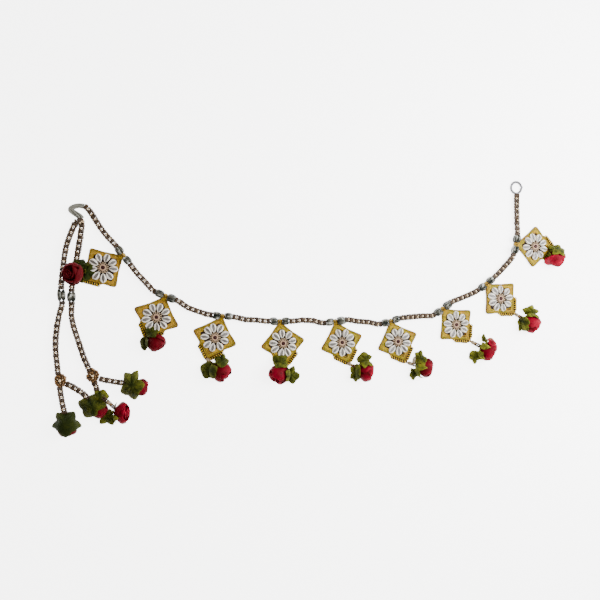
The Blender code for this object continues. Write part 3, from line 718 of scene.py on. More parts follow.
def cord_finish(name, colour, light, turns):
    """Twisted cord or wound thread: slanting plies that follow the piece, with painted shade in the grooves
    between them and painted light on their crests, and loose dark fibres.
    """
    finish = Finish(name, Specular_IOR_Level=0.1)
    turn, along = finish.node("SeparateXYZ", Vector=finish.uv()).outputs[:2]
    slant = finish.math("ADD", finish.math("MULTIPLY", along, turns), turn)
    ply = finish.math("SINE", finish.math("MULTIPLY", slant, TAU))
    fibre = finish.noise(finish.place(), 900, 3)
    # Along the twist the colour runs from painted shade in the grooves between plies to painted light on their
    # crests.
    base = finish.mix(finish.spread(ply, -1.0, 1.0), shade_of(colour, 0.45), light)
    finish.colour(finish.mix(finish.spread(fibre, 0.4, 0.7), base, colour))
    finish.roughness(finish.spread(fibre, 0.3, 0.7, 0.55, 0.85))
    finish.bump(finish.math("ADD", ply, finish.math("MULTIPLY", fibre, 0.6)), 0.25, 0.7)
    return finish.material


def table_finish(name, colour):
    """The pale table, a little bright in itself as a lit sheet of paper is."""
    finish = Finish(name, Roughness=0.85)
    grain = finish.noise(finish.place(), 6, 2)
    finish.colour(finish.mix(finish.spread(grain, 0.3, 0.7), shade_of(colour, 0.985), colour))
    finish.shader.inputs["Emission Color"].default_value = (1.0, 1.0, 1.0, 1.0)
    finish.shader.inputs["Emission Strength"].default_value = TABLE_GLOW
    return finish.material


def length(name, description, millimetres):
    """A size that a user may change, in metres in the file."""
    return FloatProperty(
        name=name, description=description, default=millimetres * MM, min=0.0, unit="LENGTH",
        subtype="DISTANCE", precision=4)


def tint(name, description, colour):
    """A colour that a user may change."""
    return FloatVectorProperty(
        name=name, description=description, default=colour, size=3, min=0.0, max=1.0, subtype="COLOR")


class ToranSizes(bpy.types.PropertyGroup):
    """Sizes of the small pieces that dress the solids."""

    row_pitch: length("Row pitch", "From one row of brown beads to the next", 11.0)
    barrel_length: length("Barrel length", "Length of a brown barrel bead", 7.2)
    barrel_radius: length("Barrel radius", "Radius of a brown barrel bead", 2.6)
    pearl_radius: length("Pearl radius", "Radius of a cream bead", 1.75)
    glass_radius: length("Glass radius", "Radius of an oval glass bead", 4.05)
    window_half: length("Window", "Half the side of the opening in a tile's brocade", 21.4)
    shell_length: length("Shell length", "Length of a cowrie shell", 17.6)
    shell_width: length("Shell width", "Width of a cowrie shell", 12.4)
    bugle_radius: length("Bugle radius", "Radius of a bugle bead in the trim", 1.1)
    bugle_pitch: length("Bugle pitch", "From one bugle bead to the next", 4.45)
    cloth_thickness: length("Cloth", "Thickness of petals and leaves", 0.6)
    rosette_beads: IntProperty(
        name="Rosette beads", description="Beads on one rosette", default=40, min=12, max=200)


class ToranColours(bpy.types.PropertyGroup):
    """Colours of the pieces."""

    barrel: tint("Barrel beads", "Brown glazed beads", (0.036, 0.02, 0.009))
    pearl: tint("Pearl beads", "Cream-gold pearl beads", (0.72, 0.55, 0.34))
    glass: tint("Glass", "Clear grey-green glass", (0.15, 0.145, 0.115))
    glass_dark: tint("Glass, clouds", "Darker clouds in the glass", (0.012, 0.017, 0.013))
    gold_bead: tint("Gold beads", "Gold-brown metallic beads", (0.125, 0.062, 0.018))
    gold_cloth: tint("Gold brocade", "Gold threads of the brocade", (0.59, 0.37, 0.014))
    olive_cloth: tint("Olive brocade", "Olive threads of the brocade", (0.22, 0.2, 0.014))
    orange_cloth: tint("Orange brocade", "Orange-brown threads of the brocade", (0.5, 0.2, 0.03))
    board: tint("Board", "Brown-gold cloth behind the tiles", (0.1, 0.06, 0.012))
    # The velvet's near black is partly its own dark colour and partly painted shade between the shells.
    velvet: tint("Velvet", "Dark ground under the shells", (0.026, 0.011, 0.006))
    shell: tint("Shell", "White cowrie shell", (0.98, 0.93, 0.83))
    # Painted shade in the cowrie's slit; three and a half times it is the grey of the faint stains.
    slit: tint("Slit", "Grey slit of a cowrie shell", (0.075, 0.065, 0.06))
    disc: tint("Stitched disc", "Thread of the disc amid the shells", (0.42, 0.3, 0.19))
    garnet: tint("Garnet bead", "Dark red bead in a tile's middle", (0.022, 0.001, 0.0))
    satin: tint("Satin", "Red satin of the roses", (0.3, 0.0, 0.019))
    # Painted shade: the satin's colour in its folds and deep in the bud.
    satin_painted_shade: tint("Satin, deep", "Satin in the folds", (0.07, 0.0, 0.002))
    # Painted highlight: the satin's colour on lit crests.
    satin_painted_highlight: tint("Satin, crests", "Satin on the crests", (0.42, 0.001, 0.028))
    leaf: tint("Leaf", "Olive leaf cloth", (0.135, 0.138, 0.014))
    # Painted shade in the creases and the middle of leaves and sepals, and also the dark mottle of the cloth.
    leaf_shade_and_mottle: tint("Leaf, deep", "Leaf cloth in the creases", (0.012, 0.018, 0.003))
    sepal: tint("Sepal", "Pale green cloth round the buds", (0.32, 0.31, 0.03))
    cord: tint("Cord", "Grey cord of the loop", (0.07, 0.07, 0.053))
    knot: tint("Knot", "Dark brown binding thread", (0.06, 0.04, 0.03))
    wire: tint("Ring thread", "Pale thread round the ring", (0.2, 0.2, 0.21))
    table: tint("Table", "Pale table", (0.93, 0.93, 0.93))


def looks(context):
    """The scene's sizes and colours."""
    return context.scene.toran_sizes, context.scene.toran_colours


def own(name, maker, *values):
    """The material of that name, made on first use."""
    found = bpy.data.materials.get(name)
    return found if found else maker(name, *(tuple(v) if hasattr(v, "__len__") else v for v in values))


def barrel_beads(colours):
    return own("brown_barrel_beads", bead_finish, colours.barrel, shade_of(colours.barrel, 2.2), 0.0, 0.38, 0.1)


def pearl_beads(colours):
    return own("cream_pearl_beads", bead_finish, colours.pearl, shade_of(colours.pearl, 1.3), 0.3, 0.26, 0.3)


def gold_beads(colours):
    return own(
        "gold_brown_beads", bead_finish, colours.gold_bead, shade_of(colours.gold_bead, 1.8), 0.7, 0.26, 0.2)


def clear_glass(colours):
    return own("grey_green_glass", glass_finish, colours.glass, colours.glass_dark)


def dark_thread(colours):
    return own("brown_thread", cord_finish, colours.knot, shade_of(colours.knot, 2.0), 6.0)


# Pieces on the strings

def glass_ends(x, y, heading, reach, side):
    """The two plan places by which a string meets glass squarely, the touching one first."""
    outward = side * heading_vector(heading)
    touch = np.array((x, y)) + (reach + CLEAR) * outward
    return [tuple(touch), tuple(touch + STRAIGHT_END * outward)]


def string_routes():
    """The route of each stretch of bead string, by the name of the solid that it stands for."""
    ring_foot = (RING_MIDDLE[0] - RING_LEAN, RING_MIDDLE[1] - RING_RADIUS - RING_WIRE_RADIUS - CLEAR)
    reach = CORE_HALF + GLASS_LENGTH
    starts = [[LOOP_END], *(glass_ends(h.x, h.y, h.heading, reach, 1) for h in HANGERS)]
    ends = [*(glass_ends(h.x, h.y, h.heading, reach, -1) for h in HANGERS), [ring_foot]]
    routes = {}
    for number, (start, via, end) in enumerate(zip(starts, STRING_VIA, ends)):
        routes[f"string_{number}"] = [*start, *via, *reversed(end)]
    for name, via in STRANDS.items():
        route = list(via)
        for glass in STRAND_GLASS:
            half = glass.length / 2
            if name == glass.above:
                route += reversed(glass_ends(glass.x, glass.y, glass.heading, half, 1))
            elif name == glass.below:
                route = [*glass_ends(glass.x, glass.y, glass.heading, half, -1), *route]
        routes[name] = route
    return {
        name: smooth_route(at_height(route, ROPE_RADIUS), ROPE_STEP, STRAIGHT_END)
        for name, route in routes.items()
    }


# Beads of the bundle: the row of barrels is 0 and that of pearls is 1. kind is 0 for a barrel, 1 for a
# pearl and 2 for a brown seed bead. side and up are places across the bundle.
Strung = namedtuple("Strung", "row kind side up")
STRUNG = (
    *(Strung(0, 0, side, up) for side in (-3.1, 3.1) for up in (-2.15, 2.15)),
    Strung(0, 0, 0, 2.5),
    *(Strung(1, 1, side, up) for side in (-1.3, 1.3) for up in (-1.9, 2.5)),
    *(Strung(1, 2, side, up) for side in (-4.1, 4.1) for up in (-1.4, 1.6)),
)


def bead_string(name, route, sizes, colours, seed):
    """A bundle of threads strung with rows of brown barrels and rows of pearls between brown seed beads.

    The rows stand at even steps along the route. Each bead keeps its place across the bundle, but for
    a slow twist of the whole, which is a sine of the distance, and a small shake of each bead.
    """
    draw = np.random.default_rng(seed)
    pitch, barrel = sizes.row_pitch / MM, sizes.barrel_length / MM
    whole = distances(route)[-1]
    rows = max(1, round((whole - barrel) / pitch))
    fit = whole / (rows * pitch + barrel)
    at_row = (
        (np.arange(rows + 1) * pitch + barrel / 2) * fit,
        (np.arange(rows) * pitch + barrel + (pitch - barrel) / 2) * fit,
    )
    thick, pearl = sizes.barrel_radius / MM, sizes.pearl_radius / MM
    patches = []
    for bead in STRUNG:
        at = at_row[bead.row]
        radius = (thick, pearl, SEED_RADIUS)[bead.kind]
        half = (barrel * fit / 2 + 0.15, pearl, SEED_HALF)[bead.kind]
        side, up, ahead = axes_on_route(route, at)
        twist = (0.3 * np.sin(at / 19.0 + 2.1 * seed))[:, None]
        place = on_route(route, at) + draw.normal(0, 0.14, side.shape)
        place += (bead.side * np.cos(twist) - bead.up * np.sin(twist)) * side
        place += (bead.side * np.sin(twist) + bead.up * np.cos(twist)) * up
        size = np.array((radius, radius, half)) * draw.uniform(0.93, 1.04, (len(at), 1))
        place[:, 2] = np.maximum(place[:, 2], size[:, 0] + 0.02)
        form = SEED_FORM if bead.kind else BARREL_FORM
        tone = draw.uniform(0, 1, len(at))
        patches.append(bead_copies(form, place, (side, up, ahead), size, bead.kind == 1, tone))
    fine = np.linspace(0.5, whole - 0.5, max(3, round(whole / 8)))
    side, up, _ = axes_on_route(route, fine)
    for across, above in THREAD_PLACES:
        patches.append(tube(on_route(route, fine) + across * side + above * up, 1.0, 6, 2))
    made = build(name + "_beads", patches, [barrel_beads(colours), pearl_beads(colours), dark_thread(colours)])
    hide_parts(name)
    return made


def glass_cluster(x, y, heading, along, length, spread_out, radius, seed):
    """Four oval glass beads round one axis, two on two and a little uneven, with a thread through each."""
    direction, side, up = level_axes(heading)
    draw = np.random.default_rng(seed)
    angle = TAU * (np.arange(4) + 0.5) / 4 + draw.uniform(-0.35, 0.35)
    centre = np.array((x, y, spread_out + radius)) + along * direction
    away = spread_out * math.sqrt(2) * draw.uniform(0.9, 1.08, 4)
    place = centre + (away * np.cos(angle))[:, None] * side + (away * np.sin(angle))[:, None] * up
    place[:, 2] = np.maximum(place[:, 2], radius + 0.05)
    place += draw.uniform(-0.6, 0.6, (4, 1)) * direction
    size = np.array((radius, radius, length / 2)) * draw.uniform(0.93, 1.04, (4, 1))
    beads = bead_copies(OVAL_FORM, place, (side, up, direction), size, 0, draw.uniform(0, 1, 4))
    threads = []
    for at in place:
        ends = np.linspace(-length / 2, length / 2, 4)[:, None] * direction
        threads.append(tube(at + ends, 0.5, 5, 1))
    return [beads, *threads]


class TORAN_OT_bead_strings(bpy.types.Operator):
    """Strings the brown and cream beads along every stretch of the toran"""

    bl_idname = "toran.bead_strings"
    bl_label = "Bead Strings"

    def execute(self, context):
        sizes, colours = looks(context)
        for seed, (name, route) in enumerate(string_routes().items()):
            made = bead_string(name, route, sizes, colours, seed)
            path = (route - (*MIDDLE, 0.0)) * MM
            whole = distances(path)[-1]
            if whole >= SHORTEST_CORD:
                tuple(path[0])
        return {"FINISHED"}


class TORAN_OT_hangers(bpy.types.Operator):
    """Makes the clusters of glass beads, and the gold beads and loops that the tiles hang by"""

    bl_idname = "toran.hangers"
    bl_label = "Hangers and Glass"

    def execute(self, context):
        sizes, colours = looks(context)
        radius = sizes.glass_radius / MM
        for number, hanger in enumerate(HANGERS, 1):
            self.make_hanger(number, hanger, radius, colours)
        for seed, row in enumerate(STRAND_GLASS):
            patches = glass_cluster(
                row.x, row.y, row.heading, 0, row.length + STRAND_GLASS_EXTRA, STRAND_GLASS_SPREAD,
                STRAND_GLASS_RADIUS, 40 + seed)
            made = build(row.name + "_beads", patches, [clear_glass(colours), dark_thread(colours)])
            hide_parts(row.name)
        return {"FINISHED"}

    def make_hanger(self, number, hanger, radius, colours):
        """Two clusters, a core of threads with three gold beads, and a loop through the tile's corner."""
        offset = CORE_HALF + GLASS_LENGTH / 2 - 0.2
        place = hanger.x, hanger.y, hanger.heading
        long = GLASS_LENGTH + GLASS_EXTRA
        patches = [
            *glass_cluster(*place, offset, long, GLASS_SPREAD, radius, 2 * number),
            *glass_cluster(*place, -offset, long, GLASS_SPREAD, radius, 2 * number + 1),
        ]
        glass = build(f"hanger_{number}_glass", patches, [clear_glass(colours), dark_thread(colours)])
        ahead, side, up = level_axes(hanger.heading)
        middle = np.array((hanger.x, hanger.y, GLASS_RADIUS))
        centres = middle + np.array((-3.6, 0.0, 3.6))[:, None] * ahead
        gold = bead_copies(
            ROUND_FORM, centres, (side, up, ahead), ((2.1, 2.1, 1.6), (2.6, 2.6, 2.4), (2.1, 2.1, 1.6)), 0,
            (0.32, 0.72, 0.48))
        top = middle + (0, 0, 3.0)
        studs = bead_copies(
            ROUND_FORM, [top, top - 2.6 * side], (side, up, ahead), (1.5, 1.5, 1.4), 0, (1.0, 0.5))
        axis = middle + np.linspace(-7, 7, 5)[:, None] * ahead
        core = [
            tube(axis + 1.1 * (c * side + s * up), 0.75, 6, 1)
            for c, s in ((1, 0), (-0.5, 0.85), (-0.5, -0.85))]
        loop = tile_loop(hanger)
        tab = thicken(
            build(f"hanger_{number}_tab", [corner_tab(hanger)], [brocade_cloth(colours)]), TAB_THICKNESS)
        threads = build(
            f"hanger_{number}_core", [gold, studs, *core, *loop],
            [gold_beads(colours), dark_thread(colours),
             own("gold_thread", cord_finish, colours.gold_cloth, shade_of(colours.gold_cloth, 1.6), 7.0)])
        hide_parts(f"hanger_{number}")


def corner_tab(hanger):
    """The tile's corner drawn out over the string: a strip whose height is a bell over the thread core."""
    out, across, _ = level_axes(hanger.tile_turn)
    along = np.linspace(-4.2, 10.5, 16)[:, None]
    wide = np.linspace(-1, 1, 9)
    half = 4.1 + 0.2 * np.maximum(along, 0) - 0.09 * np.minimum(along, 0) ** 2
    height = 4.4 + 4.0 * np.exp(-((along / 3.6) ** 2)) * (1 - 0.25 * wide**2) - 1.2 * (along < -3.5)
    height = height + 0.15 * ripple(along, wide * 3, abs(hanger.x)) - 0.5 * wide**4
    base = np.array((hanger.x, hanger.y, 0.0))
    points = base + (along + 0 * wide)[..., None] * out + (half * wide)[..., None] * across
    points[..., 2] = height
    # The tab's tone of 0.3 gives it part of the brocade's painted warm shade.
    return sheet_patch(points, 0.3)


def brocade_cloth(colours):
    return own("gold_brocade", brocade_finish, colours.gold_cloth, colours.olive_cloth, colours.orange_cloth)


def tile_loop(hanger):
    """Two turns of gold thread, upright ovals from over the core to inside the tile's corner."""
    out, across, _ = level_axes(hanger.tile_turn)
    angle = np.linspace(0, TAU, 25)
    turns = []
    for shift in (-0.9, 0.9):
        centre = np.array((hanger.x, hanger.y, 4.6)) + 3.2 * out + shift * across
        path = centre + 6.4 * np.cos(angle)[:, None] * out
        path[:, 2] += 4.0 * np.sin(angle) * np.where(np.cos(angle) < 0, 1.0, 0.55)
        path[:, 2] = np.maximum(path[:, 2], 0.7)
        turns.append(tube(path, 0.6, 6, 2, across=across))
    return turns


# Tiles

def square_reach(angle, half, rounding):
    """Distance from the middle of a rounded square to its outline, for an array of angles.

    A corner is at angle 0. Along a side it is half the side over the cosine of the angle from that
    side's middle. At a corner it is where the ray leaves the circle that rounds it.
    """
    from_corner = np.abs((angle + math.pi / 4) % (math.pi / 2) - math.pi / 4)
    from_side = math.pi / 4 - from_corner
    centre = math.sqrt(2) * (half - rounding)
    across = centre * np.sin(from_corner)
    corner = centre * np.cos(from_corner) + np.sqrt(np.maximum(rounding**2 - across**2, 0.0))
    return np.where(half * np.tan(from_side) <= half - rounding, half / np.cos(from_side), corner)


def tile_middle(number):
    """A tile's middle: from its hanger by the gap and the reach of its corner, along its heading."""
    hanger = HANGERS[number - 1]
    tip = float(square_reach(np.array(math.pi), TILE_HALF, TILE_ROUND))
    return np.array((hanger.x, hanger.y)) + (TILE_TIP_GAP + tip) * heading_vector(hanger.tile_turn)


def tile_outline(angle):
    """The tile's outline, which swells by the trim's width about TRIM_HALF_ANGLE from the free corner.

    The swelling is a smooth step over TRIM_FADE degrees.
    """
    signed = np.degrees(np.arctan2(np.sin(angle), np.cos(angle)))
    wide = square_reach(angle, TILE_HALF + TRIM_WIDTH, TRIM_ROUND)
    plain = square_reach(angle, TILE_HALF, TILE_ROUND)
    step = np.clip(0.5 + (TRIM_HALF_ANGLE - np.abs(signed)) / TRIM_FADE, 0, 1)
    return plain + (wide - plain) * step**2 * (3 - 2 * step)


def ring_rows(columns, rows):
    """Points of rings about the Z axis from (radius, height) rows, each number or array of columns."""
    angle = np.arange(columns) * TAU / columns
    made = []
    for radius, height in rows:
        radius, height = np.broadcast_arrays(radius, height, angle)[:2]
        made.append(np.stack((radius * np.cos(angle), radius * np.sin(angle), height), axis=-1))
    return np.array(made)


def square_uv(points, faces):
    """Each corner's place on the tile's square, from 0 to 1 along its two sides."""
    x, y = points[:, 0], points[:, 1]
    side = math.sqrt(2) * 2 * TILE_HALF
    places = np.stack((0.5 + (x + y) / side, 0.5 + (y - x) / side), axis=-1)
    return [places[face] for face in faces]


class TileMaker:
    """The pieces of one tile, in plan millimetres about its middle, with the free corner along +X."""

    columns = 144

    def __init__(self, number, sizes, colours):
        self.number = number
        self.sizes = sizes
        self.colours = colours
        self.angle = np.arange(self.columns) * TAU / self.columns
        self.turn = math.radians(HANGERS[number - 1].tile_turn)
        self.centre = tile_middle(number)
        self.draw = np.random.default_rng(100 + number)

    def outward(self, radius):
        """The cut of a hand-made tile: side corners stand out, and the sides are drawn in between."""
        corners = np.maximum(np.cos(2 * self.angle - math.pi), 0) ** 6
        sides = 0.5 - 0.5 * np.cos(4 * self.angle)
        return radius + SIDE_FLARES[self.number - 1] * corners - 0.8 * sides

    def placed(self, patch):
        """The patch turned to hang from its corner and moved to the tile's place."""
        cos, sin = math.cos(self.turn), math.sin(self.turn)
        x, y, z = patch.points.T
        points = np.stack((x * cos - y * sin + self.centre[0], x * sin + y * cos + self.centre[1], z), -1)
        return patch._replace(points=points)

    def make(self, name, patches, materials):
        made = build(f"tile_{self.number}_{name}", [self.placed(patch) for patch in patches], materials)
        return made

    def board(self):
        """The stiff backing: its outline is the rounded square with the trim's margin, its edge rounded."""
        edge = self.outward(tile_outline(self.angle))
        rings = ring_rows(self.columns, (
            (edge - 0.7, 0.0), (edge - 0.1, 0.35), (edge, 0.9), (edge - 0.1, 1.4), (edge - 0.7, 1.7),
            (edge * 0.8, 1.7)))
        points = np.vstack(((0, 0, 0), rings.reshape(-1, 3), (0, 0, 1.7)))
        # The velvet ground under the shells: its dark colour is partly its own and partly painted shade between
        # the shells.
        velvet = square_reach(self.angle, self.sizes.window_half / MM + 1.5, 3.0)
        bumps = 0.12 * ripple(self.angle * 6, 3.0, self.number)
        ground = ring_rows(self.columns, (
            (velvet, 1.6), (velvet, 2.3), (velvet * 0.95, 2.55 + bumps), (velvet * 0.5, 2.6 + bumps)))
        ground = np.vstack(((0, 0, 1.6), ground.reshape(-1, 3), (0, 0, 2.6)))
        return self.make(
            "board",
            [closed_patch(points, 6, self.columns, 0), closed_patch(ground, 4, self.columns, 1)],
            [own("brown_gold_backing", pile_finish, self.colours.board, 0.1),
             own("dark_velvet_ground", pile_finish, self.colours.velvet, 0.3)])

    def brocade(self):
        """The brocade frame: a padded band between the window's outline and the tile's.

        Its cross-section is carried round the tile: share is the way from the window to the outline,
        and the height is a low crown that rolls over at both edges, with small lumps.
        """
        inner = square_reach(self.angle, self.sizes.window_half / MM, 3.0)
        inner = inner + 0.35 * ripple(self.angle * 9, 1.0, self.number + 60)
        outer = self.outward(square_reach(self.angle, TILE_HALF + 0.45, TILE_ROUND))
        outer = outer + 0.22 * ripple(self.angle * 11, 2.0, self.number + 70)
        profile = (
            (0.03, 1.55), (0.97, 0.45), (1.0, 0.9), (1.004, 1.8), (0.995, 2.8), (0.965, 3.6), (0.91, 4.15),
            (0.83, 4.3), (0.7, 4.15), (0.5, 4.1), (0.3, 4.15), (0.17, 4.25), (0.08, 4.1), (0.02, 3.6),
            (0.0, 2.9), (0.005, 2.1))
        rows = []
        for share, height in profile:
            lump = 0.16 * ripple(self.angle * 14, share * 9, self.number + 80) if height > 3.5 else 0.0
            rows.append((inner + (outer - inner) * share, height + lump))
        points = ring_rows(self.columns, rows).reshape(-1, 3)
        faces, _ = grid_faces(len(profile), self.columns, True, True)
        # The tone is the tile's number over ten: it moves the brocade's pattern, and low numbers, to the left,
        # get the painted warm shade.
        patch = Patch(
            points, [faces], square_uv(points, [faces]), np.full(len(points), self.number / 10.0), 0)
        made = self.make("brocade", [patch], [brocade_cloth(self.colours)])

    def shells(self):
        """Nine cowries set out like a daisy, each an egg with a slit.

        Along the shell, half its width and height are powers of 1 less the square of the distance from
        its middle. Across, it is an oval, cut by a lens-shaped groove between two soft lips.
        """
        along = -np.cos(np.linspace(0, math.pi, 17))[1:-1, None]
        half_turn = np.array((0.0, 0.12, 0.24, 0.36, 0.48, 0.62, 0.8, 1.1, 1.5, 1.95, 2.5))
        around = np.concatenate((half_turn, (math.pi,), -half_turn[:0:-1]))
        body = (1 - along**2) ** 0.58
        width = self.sizes.shell_width / MM / 2 * body * (1 + 0.26 * along)
        height = 4.1 * body**0.85
        across = width * np.sin(around)
        top = np.cos(around)
        lens = 0.42 * width * (1 - 0.35 * along**2) + 0.05
        inside = np.clip((1.2 - np.abs(across) / lens) / 0.35, 0, 1) * (top > 0.3)
        lips = 0.5 * np.exp(-(((np.abs(across) - 1.45 * lens) / 0.8) ** 2)) * (top > 0.3)
        level = height * np.where(top > 0, np.abs(top) ** 0.8, 0.62 * top)
        level = level + (lips - 1.5 * inside) * body
        reach = self.sizes.shell_length / MM / 2
        shape = np.stack(np.broadcast_arrays(across, level, reach * along), axis=-1)
        shape = np.vstack(((0, 0, -reach), shape.reshape(-1, 3), (0, 0, reach)))
        # The tone marks the groove of the slit, which the finish paints grey as shade.
        tone = np.concatenate(((0,), (inside * (1 - along**6)).ravel(), (0,)))
        patches = []
        for number in range(SHELLS):
            turn = math.radians(SHELL_HEADINGS[self.number - 1]) - self.turn + TAU * number / SHELLS
            turn += self.draw.normal(0, 0.03)
            out = np.array((math.cos(turn), math.sin(turn), -0.05 + self.draw.normal(0, 0.02)))
            side = np.array((-math.sin(turn), math.cos(turn), self.draw.normal(0, 0.08)))
            out /= np.linalg.norm(out)
            side -= out * np.dot(side, out)
            side /= np.linalg.norm(side)
            centre = (19.2 + self.draw.normal(0, 0.3)) * out + (0, 0, 6.2)
            size = self.draw.uniform(0.93, 1.03)
            patch = scatter(
                shape, 15, len(around), [centre], (side, np.cross(out, side), out), [(size, 1.0, size)])
            patches.append(patch._replace(tone=tone))
        return self.make(
            "shells", patches, [own("cowrie_shell", shell_finish, self.colours.shell, self.colours.slit)])

    def disc(self):
        """A stitched dome with a wave for each stitch, a gold rim and a dark red bead."""
        ridge = 0.5 * np.sin(DISC_SPOKES * np.arange(108) * TAU / 108)
        rows = ((10.3, 3.2), (10.7, 4.6), (10.4 + ridge, 5.8), (9.4, 6.4 + ridge), (8.0, 6.7 + ridge),
                (6.4, 6.9 + ridge), (4.6, 6.9))
        disc = ring_rows(108, rows)
        disc = np.vstack(((0, 0, 3.2), disc.reshape(-1, 3), (0, 0, 6.8)))
        angle = np.linspace(0, TAU, 28, endpoint=False)[:, None]
        circle = np.arange(10) * TAU / 10
        reach = 4.9 + 1.2 * np.cos(circle)
        rim = np.stack(np.broadcast_arrays(
            reach * np.cos(angle), reach * np.sin(angle), 7.3 + 1.05 * np.sin(circle)), -1).reshape(-1, 3)
        faces, corners = grid_faces(28, 10, True, True)
        rim_patch = Patch(rim, [faces[:, ::-1]], [corners], np.full(len(rim), 0.8), 1)
        bead = turned_shape(bead_profile(6, 2.2), 16)
        squared = 1 + 0.1 * np.cos(4 * np.arctan2(bead[:, 1], bead[:, 0]) - 4 * (self.turn - math.pi / 2))
        bead = bead * np.stack((3.6 * squared, 3.6 * squared, 1.3 + 0 * squared), -1) + (0, 0, 7.2)
        return self.make(
            "disc",
            [closed_patch(disc, 7, 108, 0), rim_patch, closed_patch(bead, 6, 16, 2)],
            # The disc's dark colour, at 0.12 of its thread's, is the painted shade between the spokes.
            [own("stitched_disc", stitched_finish, self.colours.disc, shade_of(self.colours.disc, 0.12)),
             own("copper_rim", bead_finish, (0.42, 0.25, 0.15), (0.58, 0.4, 0.28), 0.0, 0.5, 0.0),
             own("garnet_bead", bead_finish, self.colours.garnet, shade_of(self.colours.garnet, 2.0), 0.0,
                 0.5, 0.0)])

    def trim(self):
        """Bugle beads square to the two lower sides, one at the corner, and a V of three small beads."""
        pitch, radius = self.sizes.bugle_pitch / MM, self.sizes.bugle_radius / MM
        corner = math.sqrt(2) * TILE_HALF
        upright = UPRIGHT[2]
        patches = []
        at = 5.4 + pitch * np.arange(7)
        for hand in (1, -1):
            along = np.array((-1, hand, 0)) / math.sqrt(2)
            out = np.array((1, hand, 0)) / math.sqrt(2)
            away = 3.5 - 1.3 * (at[:, None] > 30) + self.draw.normal(0, 0.2, (7, 1))
            centres = np.array((corner, 0, 3.15)) + at[:, None] * along + away * out
            centres[:, 2] += self.draw.normal(0, 0.1, 7)
            lean = math.radians(20 * hand)
            slant = math.cos(lean) * out - math.sin(lean) * np.array((out[1], -out[0], 0)) * hand
            side = np.cross(upright, slant)
            axes = (side, upright, slant)
            patches.append(bead_copies(
                BUGLE_FORM, centres, axes, (radius, 1.45, 3.3), 0, self.draw.uniform(0, 1, 7)))
            # Dark beads between the gold bugles: dark beads of their own, made wide enough to give the painted
            # shade of the slits between the bugles too.
            between = centres[:-1] + pitch / 2 * along + (0, 0, 0.3)
            patches.append(bead_copies(BUGLE_FORM, between, axes, (1.25, 1.5, 3.2), 2))
        out = UPRIGHT[0]
        patches.append(bead_copies(
            BUGLE_FORM, [(45.0, 0, 3.15)], (np.cross(upright, out), upright, out), (radius, 1.45, 3.0), 0, 0.7))
        spots = (
            (32.6, 0, 5.2), (30.4, 2.3, 5.1), (30.4, -2.3, 5.1), (28.6, 4.3, 4.9), (28.6, -4.3, 4.9))
        patches.append(bead_copies(
            SEED_FORM, spots, UPRIGHT, (1.25, 1.25, 1.15), 1, (0.9, 0.6, 0.7, 0.5, 0.6)))
        return self.make(
            "trim", patches,
            [own("gold_bugle_beads", bead_finish, shade_of(self.colours.gold_cloth, 0.85),
                 shade_of(self.colours.gold_cloth, 1.4), 0.3, 0.3, 0.2),
             gold_beads(self.colours),
             # Near black: the dark beads' colour and the painted shade of the slits between bugles.
             own("dark_bugle_beads", bead_finish, (0.006, 0.002, 0.001), (0.012, 0.004, 0.002), 0.0, 0.7,
                 0.0)])


class TORAN_OT_tiles(bpy.types.Operator):
    """Makes the nine tiles with their brocade, shells, discs and bead trim"""

    bl_idname = "toran.tiles"
    bl_label = "Tiles"

    def execute(self, context):
        for number in range(1, len(HANGERS) + 1):
            tile = TileMaker(number, *looks(context))
            board = tile.board()
            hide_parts(f"tile_{number}")
            tile.brocade()
            tile.shells()
            tile.disc()
            tile.trim()
        return {"FINISHED"}


# Roses

def in_bud(rose, side, up, forward):
    """Plan places from places in a bud's unit ball.

    The ball is first turned so that its mouth rises by the rose's tilt, then stretched to the bud's
    half sizes and turned to its heading. Nothing goes below the surface that the bud lies on.
    """
    tilt = math.radians(rose.tilt)
    ahead = forward * math.cos(tilt) - up * math.sin(tilt)
    rise = forward * math.sin(tilt) + up * math.cos(tilt)
    facing = heading_vector(rose.point)
    ahead = ahead * rose.long / 2
    side = side * rose.wide / 2
    x = rose.x + ahead * facing[0] - side * facing[1]
    y = rose.y + ahead * facing[1] + side * facing[0]
    z = rose.lift + BUD_SINK * rose.tall / 2 + rise * rose.tall / 2
    return np.stack((x, y, np.maximum(z, rose.lift + 0.4)), axis=-1)


def bud_top(rose, x, y):
    """The height of the bud's upper side over plan places, and far below the table outside it."""
    facing = heading_vector(rose.point)
    dx, dy = x - rose.x, y - rose.y
    ahead = (dx * facing[0] + dy * facing[1]) / (rose.long / 2 * 1.08)
    side = (dy * facing[0] - dx * facing[1]) / (rose.wide / 2 * 1.08)
    left = 1 - ahead**2 - side**2
    top = rose.lift + BUD_SINK * rose.tall / 2 + rose.tall / 2 * 1.08 * np.sqrt(np.maximum(left, 0))
    return np.where(left > 0, top, -50.0)


def sheet_patch(points, tone):
    """A grid of points, rows by columns by three, as an open sheet."""
    faces, corners = grid_faces(*points.shape[:2])
    tone = np.broadcast_to(tone, points.shape[:2]).ravel()
    return Patch(points.reshape(-1, 3), [faces], [corners], tone, 0)


def heart(rose, seed):
    """The rolled middle: a strip on a spiral of two turns, its rim waved."""
    wind = np.linspace(0, 1, 44)
    rise = np.linspace(-0.35, 1, 7)[:, None]
    angle = TAU * 2.1 * wind + seed
    away = (0.07 + 0.33 * wind) * (1 + 0.08 * np.sin(2 * angle + seed)) * (0.8 + 0.2 * np.maximum(rise, 0))
    top = 0.93 - 0.1 * wind + 0.03 * np.sin(3 * angle)
    forward = rise * top
    # The tone is painted shade: dark deep in the rolled middle, lighter towards its rim, times the rose's
    # painted light.
    tone = rose.shade * (0.12 + 0.75 * np.clip(rise, 0, 1) ** 3 * np.ones_like(wind))
    return sheet_patch(in_bud(rose, away * np.cos(angle), away * np.sin(angle), forward), tone)


